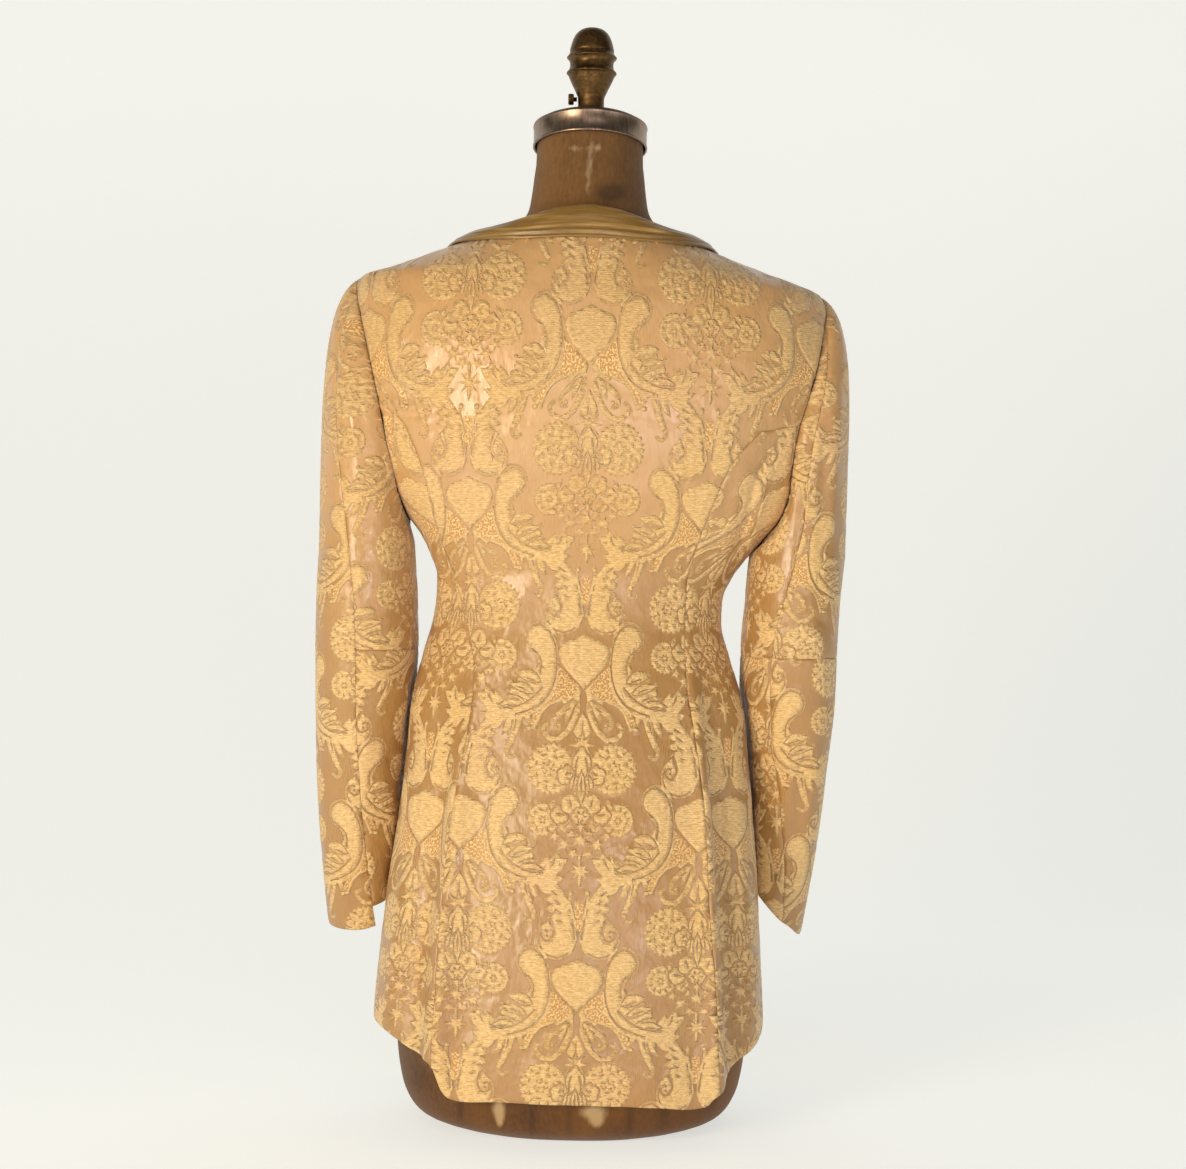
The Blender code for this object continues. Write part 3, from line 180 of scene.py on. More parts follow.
# Front princess seam: height, distance from the middle
FRONT_SEAM_ROWS = (
    (0.020, 0.100), (0.100, 0.098), (0.250, 0.090), (0.350, 0.080), (0.440, 0.072), (0.520, 0.088),
    (0.592, 0.130),
)

# Front opening: height, distance of the neckline from the middle
OPENING_ROWS = (
    (0.500, 0.0), (0.520, 0.0085), (0.560, 0.0245), (0.620, 0.0465), (0.680, 0.0655), (0.720, 0.0790),
    (0.745, 0.0890),
)
OPENING_TOP = 0.745
CLOSED_TO = 0.500

# Neckline: height at centre back and at the shoulder, and how far it dips between them
NECK_BACK = 0.7610
NECK_SIDE = 0.7560
NECK_DIP = 0.0042

# Armholes by side: top height, bottom height, reach to the back and to the front in degrees
ARMHOLES = {-1: (0.7235, 0.5160, 30.0, 27.0), 1: (0.7150, 0.4970, 30.0, 27.0)}
ARMHOLE_SKEW = 0.18

# Where the seams meet the armhole, in degrees from the shoulder over the back
BACK_SEAM_AT = 93.0
SIDE_SEAM_AT = 172.0
FRONT_SEAM_AT = 268.0

# Sleeve tubes by side: height, outer edge, inner edge, middle in Y, half depth in Y, turn in degrees
SLEEVE_ROWS = {
    1: (
        (0.490, 0.2275, 0.1465, -0.001, 0.0610, 0.0),
        (0.450, 0.2235, 0.1440, -0.002, 0.0590, 2.0),
        (0.410, 0.2215, 0.1420, 0.000, 0.0565, 5.0),
        (0.364, 0.2205, 0.1420, 0.007, 0.0540, 9.0),
        (0.312, 0.2160, 0.1420, 0.020, 0.0510, 14.0),
        (0.260, 0.2115, 0.1420, 0.036, 0.0480, 18.0),
        (0.222, 0.2075, 0.1420, 0.048, 0.0460, 20.0),
        (0.150, 0.1985, 0.1385, 0.070, 0.0430, 20.0),
    ),
    -1: (
        (0.490, 0.2265, 0.1460, -0.001, 0.0610, 0.0),
        (0.450, 0.2275, 0.1430, -0.002, 0.0590, 2.0),
        (0.410, 0.2275, 0.1418, 0.000, 0.0565, 4.0),
        (0.364, 0.2265, 0.1430, 0.006, 0.0540, 8.0),
        (0.300, 0.2255, 0.1465, 0.020, 0.0505, 12.0),
        (0.250, 0.2235, 0.1480, 0.033, 0.0480, 14.0),
        (0.200, 0.2200, 0.1480, 0.046, 0.0460, 15.0),
        (0.150, 0.2155, 0.1460, 0.058, 0.0450, 15.0),
    ),
}

# Where a sleeve's cap meets its tube, and how far down the tube is built
BICEP = 0.490
TUBE_END = 0.150

# Shares of the span over which the cap runs out at the shoulder, out at the underarm and down into the tube
CAP_OUT = 0.155
CAP_LOW = 0.34
CAP_DOWN = 0.42

# How level and how steep the cap leaves the armhole at the shoulder, and how much each changes to the underarm
CAP_LEVEL = 0.92
CAP_LEVEL_LOSS = 0.75
CAP_FALL = 0.40
CAP_FALL_GAIN = 0.60

# Step in from the armhole and out from the body at the cap's edge
EDGE_STEP = 0.0002
EDGE_LIFT = 0.0003

# Least gap between a sleeve and the body, kept below the waist, and how softly it sets in
SLEEVE_CLEAR = 0.0042
WAIST = 0.47
WAIST_BLEND = 0.03
CLEAR_SOFTNESS = 0.012

# Rows of a sleeve's cap and tube, and steps around them
CAP_STEPS = 120
TUBE_STEPS = 240
AROUND = 540

# Sleeve hems by side: angle from the outer edge towards the back, height
SLEEVE_HEMS = {
    1: (
        (0, 0.166), (45, 0.155), (90, 0.167), (135, 0.190), (180, 0.206), (225, 0.203), (270, 0.190),
        (315, 0.177), (360, 0.166),
    ),
    -1: (
        (0, 0.168), (45, 0.157), (90, 0.155), (135, 0.162), (180, 0.170), (225, 0.175), (270, 0.175),
        (315, 0.173), (360, 0.168),
    ),
}

# Height from which the search for a sleeve's hem starts
HEM_GUESS = 0.18

# How much shorter the under sleeve is, by side
UNDER_SHORTER = {1: 0.000, -1: 0.018}

# Hind-arm seams by side: level (0 armhole, 1 upper arm, 2 lowest ring), angle from the outer edge
HIND_SEAMS = {
    1: (
        (0.0, 42), (0.1, 58), (0.2, 76), (0.32, 87), (0.57, 91), (0.79, 91), (1.0, 97), (1.09, 105),
        (1.15, 113), (1.23, 121), (1.31, 126), (1.41, 127), (1.52, 122), (1.62, 114), (1.73, 107),
        (1.83, 100), (1.93, 94), (2.0, 90),
    ),
    -1: (
        (0.0, 36), (0.3, 47), (0.5, 55), (0.67, 63), (0.82, 71), (1.0, 78), (1.12, 86), (1.25, 90),
        (1.4, 95), (1.59, 104), (1.75, 111), (1.9, 117), (2.0, 121),
    ),
}
FORE_SEAM = ((0.0, 234), (1.0, 220), (2.0, 214))
ELBOW = 0.403

# Collar: angle from centre back or height on the front, stand height, how far the fall reaches
# beyond the neckline
COLLAR_ROWS = (
    (0, 0.0138, 0.0130), (13, 0.0124, 0.0127), (27, 0.0088, 0.0124), (42, 0.0050, 0.0115),
    (55, 0.0034, 0.0125), (68, 0.0030, 0.0145), (90, 0.0028, 0.0165),
)
COLLAR_FRONT = (
    (0.500, 0.0030, 0.0100), (0.540, 0.0034, 0.0200), (0.620, 0.0036, 0.0260), (0.700, 0.0034, 0.0240),
    (0.7610, 0.0032, 0.0185),
)
COLLAR_END = 0.512
COLLAR_ALONG = 260
COLLAR_ACROSS = 60

# The stand is upright at the back and leans with the body from an angle on: that angle in degrees from
# centre back, the degrees over which it changes, and the degrees that a metre down the front counts as
STAND_LEANS_BY = 105
STAND_LEANS_OVER = 50
DEGREES_PER_METRE = 900

# Collar: foot above the neckline, roll out of the stand, swell of the fall and its growth with the width,
# and the height of a full stand
COLLAR_FOOT = 0.0013
ROLL_OUT = 0.0052
SWELL = 0.0022
SWELL_BY_WIDTH = 0.12
FULL_STAND = 0.02

# Dress form: height, half width, back gap and front gap to the coat's body
FORM_ROWS = (
    (0.040, 0.1490, 0.0110, 0.0090),
    (0.100, 0.1515, 0.0100, 0.0060),
    (0.150, 0.1510, 0.0090, 0.0050),
    (0.200, 0.1485, 0.0075, 0.0045),
    (0.260, 0.1440, 0.0060, 0.0040),
    (0.310, 0.1380, 0.0050, 0.0040),
    (0.360, 0.1300, 0.0040, 0.0040),
    (0.400, 0.1215, 0.0035, 0.0040),
    (0.450, 0.1140, 0.0032, 0.0040),
    (0.500, 0.1240, 0.0030, 0.0040),
    (0.545, 0.1360, 0.0028, 0.0036),
    (0.590, 0.1460, 0.0027, 0.0036),
    (0.650, 0.1590, 0.0026, 0.0036),
    (0.700, 0.1660, 0.0028, 0.0040),
    (0.725, 0.1620, 0.0032, 0.0046),
    (0.745, 0.1540, 0.0038, 0.0052),
    (0.760, 0.1400, 0.0048, 0.0056),
)
FORM_SIDE_GAP = 0.0056
FORM_AROUND = 300
FORM_RINGS = 290
ROUNDED_RINGS = 28

# How the form's shoulders draw in: from which height, over what height, by what share of it
SHOULDER_FROM = 0.7320
SHOULDER_REACH = 0.0150
SHOULDER_DRAW = 0.10
SHOULDER_SOFTNESS = 0.004

# Neck of the form above the coat's rings, up to the last level ring and to the leaning top ring
NECK_FROM = 0.762
NECK_LEVEL_TO = 0.8250
NECK_TOP = 0.8385

# Neck of the form: height, half width, back depth, front depth
NECK_ROWS = (
    (0.7620, 0.0780, 0.0670, 0.0340),
    (0.7680, 0.0680, 0.0605, 0.0330),
    (0.7760, 0.0575, 0.0550, 0.0350),
    (0.7860, 0.0520, 0.0515, 0.0400),
    (0.7980, 0.0498, 0.0495, 0.0440),
    (0.8150, 0.0478, 0.0478, 0.0455),
    (0.8330, 0.0458, 0.0458, 0.0446),
    (0.8600, 0.0454, 0.0454, 0.0450),
)

# How far the form's lower edge rounds in: height, distance in from the side
ROUND_TO = 0.070
ROUND_ROWS = (
    (0.0, 0.0560), (0.0018, 0.0450), (0.0050, 0.0320), (0.0095, 0.0205), (0.0160, 0.0130), (0.0250, 0.0075),
    (0.0340, 0.0040), (0.0450, 0.0018), (0.0560, 0.0006), (0.0680, 0.0), (0.9000, 0.0),
)

# Half width and depth of the form's foot, and the share of the rounding that its depth takes
FOOT_HALF = 0.149
FOOT_DEPTH = 0.110
FOOT_SHARE = 0.42

# Steps around the metal parts
METAL_AROUND = 96

# Neck ring, which leans about a pivot, and its beads: how far out from the wall, how far in from the edge
RING_RADIUS = 0.0492
RING_WALL = 0.0012
RING_BOTTOM = 0.8400
RING_TOP = 0.8595
RING_TILT = math.radians(8.0)
RING_PIVOT = 0.8490
LOWER_BEAD = ((-0.0002, 0.0), (0.00042, 0.0003), (0.0006, 0.0012), (0.00048, 0.0022), (0.0, 0.0030))
UPPER_BEAD = ((0.0, 0.0024), (0.00048, 0.0017), (0.0006, 0.0010), (0.00036, 0.0002), (-0.0004, 0.0))

# Cap and finial: height, radius
CAP_ROWS = (
    (0.8495, 0.0465), (0.8510, 0.0476), (0.8575, 0.0476), (0.8620, 0.0450), (0.8665, 0.0330),
    (0.8690, 0.0180), (0.8694, 0.0),
)
FINIAL_ROWS = (
    (0.8711, 0.0140), (0.8738, 0.0140), (0.8758, 0.0118), (0.8800, 0.0114), (0.8850, 0.0116),
    (0.8885, 0.0130), (0.8923, 0.0147), (0.8960, 0.0166), (0.8996, 0.0183), (0.9030, 0.0197),
    (0.9048, 0.0208), (0.9056, 0.0216), (0.9063, 0.0218), (0.9070, 0.0215), (0.9080, 0.0204),
    (0.9100, 0.0193), (0.9123, 0.0189), (0.9150, 0.0190), (0.9172, 0.0198), (0.9186, 0.0210),
    (0.9193, 0.0217), (0.9200, 0.0217), (0.9208, 0.0209), (0.9224, 0.0198), (0.9245, 0.0191),
    (0.9262, 0.0192), (0.9312, 0.0180), (0.9352, 0.0167), (0.9392, 0.0147), (0.9424, 0.0118),
    (0.9444, 0.0084), (0.9454, 0.0045), (0.9457, 0.0),
)

# Thumbscrew: distance from the finial's axis, radius, 1 where the rim is knurled
SCREW_HEIGHT = 0.8835
SCREW_ROWS = (
    (0.0123, 0.0019, 0), (0.0150, 0.0019, 0), (0.0150, 0.004128, 0), (0.0153, 0.00456, 0),
    (0.0160, 0.0048, 1), (0.0188, 0.0048, 1), (0.0195, 0.00456, 0), (0.0198, 0.004128, 0),
    (0.0194, 0.00264, 0), (0.0194, 0.00096, 0),
)


def smooth(at, rows, column=1):
    """Reads a column of a short table along a smooth curve with no overshoot."""
    x = np.array([row[0] for row in rows], float)
    y = np.array([row[column] for row in rows], float)
    step = np.diff(x)
    rise = np.diff(y) / step
    slope = np.zeros_like(y)
    slope[0] = rise[0]
    slope[-1] = rise[-1]
    same = rise[:-1] * rise[1:] > 0
    w1 = 2 * step[1:] + step[:-1]
    w2 = step[1:] + 2 * step[:-1]
    inner = np.zeros(len(y) - 2)
    inner[same] = (w1 + w2)[same] / (w1[same] / rise[:-1][same] + w2[same] / rise[1:][same])
    slope[1:-1] = inner
    at = np.clip(np.asarray(at, float), x[0], x[-1])
    k = np.clip(np.searchsorted(x, at, side="right") - 1, 0, len(step) - 1)
    t = (at - x[k]) / step[k]
    a = (1 + 2 * t) * (1 - t) ** 2 * y[k] + t * (1 - t) ** 2 * slope[k] * step[k]
    b = t * t * (3 - 2 * t) * y[k + 1] + t * t * (t - 1) * slope[k + 1] * step[k]
    return a + b


def eased(share):
    """A share from 0 to 1 with soft ends."""
    return share * share * (3 - 2 * share)


def unit(v):
    return v / np.maximum(np.linalg.norm(v, axis=-1, keepdims=True), 1e-12)


def run_along(points):
    """How far each point of a line lies from its start, along the line."""
    return np.concatenate([[0], np.cumsum(np.linalg.norm(np.diff(points, axis=0), axis=1))])


def skirt_folds(theta, z):
    """How far the folds of the skirt stand out, for angles in radians."""
    degrees = np.degrees(theta)
    out = np.zeros(np.broadcast(theta, z).shape)
    for side, angle, spread, height, start, reach in SKIRT_FOLDS:
        grow = eased(np.clip((start - z) / reach, 0, 1))
        out = out + height * grow * np.exp(-(((degrees - side * angle) / spread) ** 2))
    return out


def ring_sizes(right, back, z):
    """Half width, depth and roundness of the body's ring at a height, on the right or left, back or front."""
    half = np.where(right, smooth(z, BODY_ROWS, RIGHT), smooth(z, BODY_ROWS, LEFT))
    depth = np.where(back, smooth(z, BODY_ROWS, BACK), smooth(z, BODY_ROWS, FRONT))
    return half, depth, smooth(z, BODY_ROWS, ROUNDNESS)


def oval(theta, half, depth, power):
    """X and Y on a ring. Angle 0 is centre back and grows towards +X."""
    s = np.sin(theta)
    c = np.cos(theta)
    x = half * np.sign(s) * np.abs(s) ** (2 / power)
    y = -depth * np.sign(c) * np.abs(c) ** (2 / power)
    return x, y


def body(theta, z):
    """A point on the middle of the body's cloth."""
    theta = np.asarray(theta, float)
    z = np.asarray(z, float)
    x, y = oval(theta, *ring_sizes(np.sin(theta) >= 0, np.cos(theta) >= 0, z))
    length = np.maximum(np.hypot(x, y), 1e-6)
    more = 1 + skirt_folds((theta + np.pi) % (2 * np.pi) - np.pi, z) / length
    return np.stack([x * more, y * more, np.broadcast_to(z, x.shape)], -1)


def body_normal(theta, z):
    """Outward direction of the body's cloth."""
    around = body(theta + ANGLE_STEP, z) - body(theta - ANGLE_STEP, z)
    up = body(theta, np.minimum(z + HEIGHT_STEP, BODY_TOP)) - body(theta, z - HEIGHT_STEP)
    return unit(np.cross(around, up))


def on_ring(x, y, z):
    """How many times as far out as the body's ring a point lies, and its angle."""
    half, depth, power = ring_sizes(x >= 0, y <= 0, z)
    scale = ((np.abs(x) / half) ** power + (np.abs(y) / depth) ** power) ** (1 / power)
    turn = np.arcsin(np.clip(np.abs(x) / half / scale, 0, 1) ** (power / 2))
    return scale, np.where(x >= 0, 1, -1) * np.where(y <= 0, turn, np.pi - turn)


def angle_at(distance, z, side, front):
    """The angle at which the body's ring is a distance from the middle, on one side."""
    half = smooth(z, BODY_ROWS, RIGHT if side > 0 else LEFT)
    power = smooth(z, BODY_ROWS, ROUNDNESS)
    turn = np.arcsin(np.clip(distance / half, 0, 1) ** (power / 2))
    return side * np.where(front, np.pi - turn, turn)


def armhole(side, alpha):
    """Angle and height of the armhole seam. Alpha 0 is the shoulder, 90 the back, 180 the underarm."""
    top, bottom, to_back, to_front = ARMHOLES[side]
    a = np.radians(alpha)
    reach = np.where(np.sin(a) > 0, to_back, to_front)
    theta = 90 - reach * np.sin(a) * (1 - ARMHOLE_SKEW * np.cos(a))
    z = (top + bottom) / 2 + (top - bottom) / 2 * np.cos(a)
    return side * np.radians(theta), z


def signed_area(outline):
    """Area of a closed outline, positive where it runs against the clock."""
    x, y = outline.T
    return np.sum(x * np.roll(y, -1) - y * np.roll(x, -1)) / 2


def inset(outline, by):
    """Moves a closed outline inwards by the same distance on every side."""
    turn = 1 if signed_area(outline) > 0 else -1
    before = unit(outline - np.roll(outline, 1, axis=0))
    after = unit(np.roll(outline, -1, axis=0) - outline)
    n1 = np.stack([-before[:, 1], before[:, 0]], 1) * turn
    n2 = np.stack([-after[:, 1], after[:, 0]], 1) * turn
    middle = unit(n1 + n2)
    stretch = 1 / np.maximum(np.sum(middle * n1, axis=1), 0.5)
    return outline + middle * (by * stretch)[:, None]


def inside(points, outline):
    """Which points lie inside a closed outline."""
    result = np.zeros(len(points), bool)
    x, y = points.T
    for a, b in zip(outline, np.roll(outline, -1, axis=0)):
        crosses = (a[1] > y) != (b[1] > y)
        where = (b[0] - a[0]) * (y - a[1]) / (b[1] - a[1] + 1e-15) + a[0]
        result ^= crosses & (x < where)
    return result


def hem_height(theta):
    """Height of the hem at an angle."""
    degrees = np.degrees((np.asarray(theta) + np.pi) % (2 * np.pi) - np.pi)
    return np.where(degrees < 0, smooth(-degrees, HEM_ROWS[-1]), smooth(degrees, HEM_ROWS[1]))


def hem_line(start, end):
    theta = np.linspace(start, end, 140)
    return np.stack([theta, hem_height(theta)], 1)


def princess(side, front):
    """A princess seam from the hem to the armhole."""
    rows = FRONT_SEAM_ROWS if front else BACK_SEAM_ROWS
    column = 1 if front or side < 0 else 2
    low, high = BODY_FOOT, ABOVE_HEMS
    for _ in range(24):
        middle = (low + high) / 2
        if float(hem_height(angle_at(smooth(middle, rows, column), middle, side, front))) > middle:
            low = middle
        else:
            high = middle
    z = np.linspace(low, SEAM_TOP, 90)
    line = np.stack([angle_at(smooth(z, rows, column), z, side, front), z], 1)
    return np.concatenate([line, [armhole(side, FRONT_SEAM_AT if front else BACK_SEAM_AT)]])


def side_seam(side):
    """The seam under the arm, from the hem to the armhole."""
    top_theta, top_z = armhole(side, SIDE_SEAM_AT)
    low = float(hem_height(side * math.pi / 2))
    z = np.linspace(low, top_z, 60)
    share = (z - low) / (top_z - low)
    theta = side * math.pi / 2 + (top_theta - side * math.pi / 2) * share**2
    return np.stack([theta, z], 1)


def armhole_line(side, start, end):
    return np.stack(armhole(side, np.linspace(start, end, 60)), 1)


def neck_line(start, end):
    """The neckline of the back between two angles."""
    theta = np.linspace(start, end, 50)
    share = np.clip(np.abs(theta) / (math.pi / 2), 0, 1)
    z = NECK_BACK + (NECK_SIDE - NECK_BACK) * share**2 - NECK_DIP * np.sin(math.pi * share) ** 2
    return np.stack([theta, z], 1)


def shoulder_line(side):
    """From the neckline to the armhole along the shoulder."""
    z = np.linspace(NECK_SIDE, armhole(side, 0.0)[1], 40)
    return np.stack([np.full(40, side * math.pi / 2), z], 1)


def opening_line(side):
    """From the neckline at the shoulder down the front neckline to where the fronts meet."""
    z = np.linspace(NECK_SIDE, CLOSED_TO, 90)
    above = np.interp(z, [OPENING_TOP, NECK_SIDE], [0.0, 1.0])
    half = smooth(NECK_SIDE, BODY_ROWS, RIGHT if side > 0 else LEFT)
    to_shoulder = half - float(smooth(OPENING_TOP, OPENING_ROWS))
    distance = smooth(np.minimum(z, OPENING_TOP), OPENING_ROWS) + to_shoulder * above**1.3
    return np.stack([angle_at(np.maximum(distance, 0.0), z, side, True), z], 1)


def centre_front(side):
    """The edge of a front, from where the fronts meet down to the hem."""
    z = np.linspace(CLOSED_TO, float(hem_height(math.pi)), 60)
    return np.stack([np.full(60, side * math.pi), z], 1)


def clear_of_body(points, clearance):
    """Pushes points below the waist that come too near the body's cloth straight out of its rings."""
    x, y, z = np.moveaxis(points, -1, 0)
    scale, theta = on_ring(x, y, z)
    least = 1 + (clearance + skirt_folds(theta, z)) / (np.hypot(x, y) / scale)
    more = (scale - least) / CLEAR_SOFTNESS
    pushed = least + CLEAR_SOFTNESS * np.where(more > 30, more, np.log1p(np.exp(np.minimum(more, 30))))
    below = np.clip((WAIST - z) / WAIST_BLEND, 0, 1)
    factor = 1 + (pushed / scale - 1) * below
    return np.stack([x * factor, y * factor, z], -1)


def tube_ring(side, phi, z):
    """A ring of a sleeve's tube. Phi 0 is the outer edge, 90 degrees the back, 180 the inner edge."""
    rows = SLEEVE_ROWS[side][::-1]
    outer, inner, y0, depth, turn = (smooth(z, rows, column) for column in range(1, 6))
    middle = (outer + inner) / 2
    half = (outer - inner) / 2
    turn = np.radians(turn)
    c = np.cos(phi)
    s = np.sin(phi)
    u = half * np.sign(c) * np.abs(c) ** 0.92
    v = -depth * np.sign(s) * np.abs(s) ** 0.92
    x = u * np.cos(turn) - v * np.sin(turn)
    y = u * np.sin(turn) * 0.5 + v * np.cos(turn)
    return np.stack([side * (middle + x), y0 + y, z + 0 * x], -1)


def sleeve_grid(side):
    """Rows from the armhole over the cap and down the tube, columns around."""
    phi = np.linspace(0, 2 * np.pi, AROUND + 1)
    theta, z = armhole(side, np.degrees(phi))
    start = body(theta, z)
    normal = body_normal(theta, z)
    low = np.clip((1 - np.cos(phi)) / 2, 0, 1)[:, None]
    run = unit(np.gradient(start, axis=0))
    run[0] = run[-1] = unit(start[1] - start[-2])
    into = unit(np.cross(run, normal))
    into = into * np.sign(np.sum(into * (start.mean(0) - start), axis=1, keepdims=True))
    start = start + into * EDGE_STEP * (1 - low) + normal * (EDGE_LIFT + (CLOTH + SEAM_GAP) * low)
    end = tube_ring(side, phi, np.full(AROUND + 1, BICEP))
    span = np.linalg.norm(end - start, axis=1, keepdims=True)
    down = np.array([0, 0, -1.0])
    level = unit(normal * np.array([1.0, 1.0, 0.0]))
    first = unit(level * (CAP_LEVEL - CAP_LEVEL_LOSS * low) + down * (CAP_FALL + CAP_FALL_GAIN * low))
    p1 = start + first * span * (CAP_OUT + (CAP_LOW - CAP_OUT) * low)
    p2 = end - down * span * CAP_DOWN
    rows = []
    for t in np.linspace(0, 1, CAP_STEPS + 1)[:-1]:
        rows.append(start * (1 - t) ** 3 + p1 * 3 * t * (1 - t) ** 2 + p2 * 3 * t * t * (1 - t) + end * t**3)
    for height in np.linspace(BICEP, TUBE_END, TUBE_STEPS + 1):
        ring = tube_ring(side, phi, np.full(AROUND + 1, height))
        rows.append(clear_of_body(ring, SLEEVE_CLEAR))
    return np.array(rows)


def height_to_row(z):
    return CAP_STEPS + (BICEP - z) / (BICEP - TUBE_END) * TUBE_STEPS


def sleeve_hem_row(side, phi, under):
    """Row of the sleeve's hem at an angle in degrees."""
    height = smooth(np.asarray(phi) % 360, SLEEVE_HEMS[side]) + (UNDER_SHORTER[side] if under else 0.0)
    return height_to_row(height)


def sleeve_lines(side, under, top, bottom):
    """The four edges of a sleeve piece between two levels, in order around it."""
    count = 120
    hind = HIND_SEAMS[side]
    elbow = float(height_to_row(ELBOW))

    def seam(table, turn, start, end):
        row = start + (end - start) * np.linspace(0, 1, count)
        level = np.where(row < CAP_STEPS, row / CAP_STEPS, 1 + (row - CAP_STEPS) / TUBE_STEPS)
        return np.stack([row, smooth(level, table) + turn], 1)

    def last_row(table, turn):
        row = float(height_to_row(HEM_GUESS))
        for _ in range(20):
            level = 1 + (row - CAP_STEPS) / TUBE_STEPS
            row = float(sleeve_hem_row(side, smooth(level, table) + turn, under))
        return row

    back_turn = 0 if under else 360
    first = 0.0 if top else elbow
    back = seam(hind, back_turn, first, last_row(hind, back_turn) if bottom else elbow)
    front = seam(FORE_SEAM, 0, first, last_row(FORE_SEAM, 0) if bottom else elbow)
    upper = np.stack([np.full(count, first), np.linspace(front[0, 1], back[0, 1], count)], 1)
    end_phi = np.linspace(back[-1, 1], front[-1, 1], count)
    end_row = sleeve_hem_row(side, end_phi, under) if bottom else np.full(count, elbow)
    return [upper, back, np.stack([end_row, end_phi], 1), front[::-1]]


def between(table, row, column):
    """Reads a table between its entries."""
    i = np.clip(row.astype(int), 0, table.shape[0] - 2)
    j = np.clip(column.astype(int), 0, table.shape[1] - 2)
    extra = (1,) * (table.ndim - 2)
    f = (row - i).reshape(-1, *extra)
    g = (column - j).reshape(-1, *extra)
    low = table[i, j] * (1 - g) + table[i, j + 1] * g
    high = table[i + 1, j] * (1 - g) + table[i + 1, j + 1] * g
    return low * (1 - f) + high * f


def read_rows(row, value, tables, results):
    """For each point, where its value stands in the rows above and below it, blended between the two."""
    low = np.clip(row.astype(int), 0, len(tables) - 2)
    share = row - low
    found = np.zeros(len(row))
    for k in np.unique(low):
        at = np.nonzero(low == k)[0]
        first = np.interp(value[at], tables[k], results)
        second = np.interp(value[at], tables[k + 1], results)
        found[at] = first * (1 - share[at]) + second * share[at]
    return found


class BodyCloth:
    """The body's cloth laid flat: X along the ring from the grain angle, Y up the back."""

    ROWS = 260
    COLUMNS = 701
    REACH = 1.9

    def __init__(self, grain):
        self.heights = np.linspace(BODY_FOOT, BODY_TOP, self.ROWS)
        self.run = smooth(self.heights, CLOTH_ROWS)
        self.angles = np.linspace(grain - self.REACH, grain + self.REACH, self.COLUMNS)
        angle, height = np.meshgrid(self.angles, self.heights)
        steps = np.linalg.norm(np.diff(body(angle, height), axis=1), axis=2)
        arcs = np.concatenate([np.zeros((self.ROWS, 1)), np.cumsum(steps, axis=1)], axis=1)
        self.arcs = arcs - arcs[:, self.COLUMNS // 2, None]

    def to_flat(self, place):
        """Flat points of (angle, height) places."""
        y = np.interp(place[:, 1], self.heights, self.run)
        row = np.interp(place[:, 1], self.heights, np.arange(self.ROWS))
        column = np.interp(place[:, 0], self.angles, np.arange(self.COLUMNS))
        return np.stack([between(self.arcs, row, column), y], 1)

    def to_place(self, xy):
        """Angles and heights of flat points."""
        z = np.interp(xy[:, 1], self.run, self.heights)
        row = np.interp(z, self.heights, np.arange(self.ROWS))
        return np.stack([read_rows(row, xy[:, 0], self.arcs, self.angles), z], 1)

    def at(self, place):
        """Points of the middle of the cloth and its outward directions."""
        theta, z = place.T
        return body(theta, z), body_normal(theta, z)


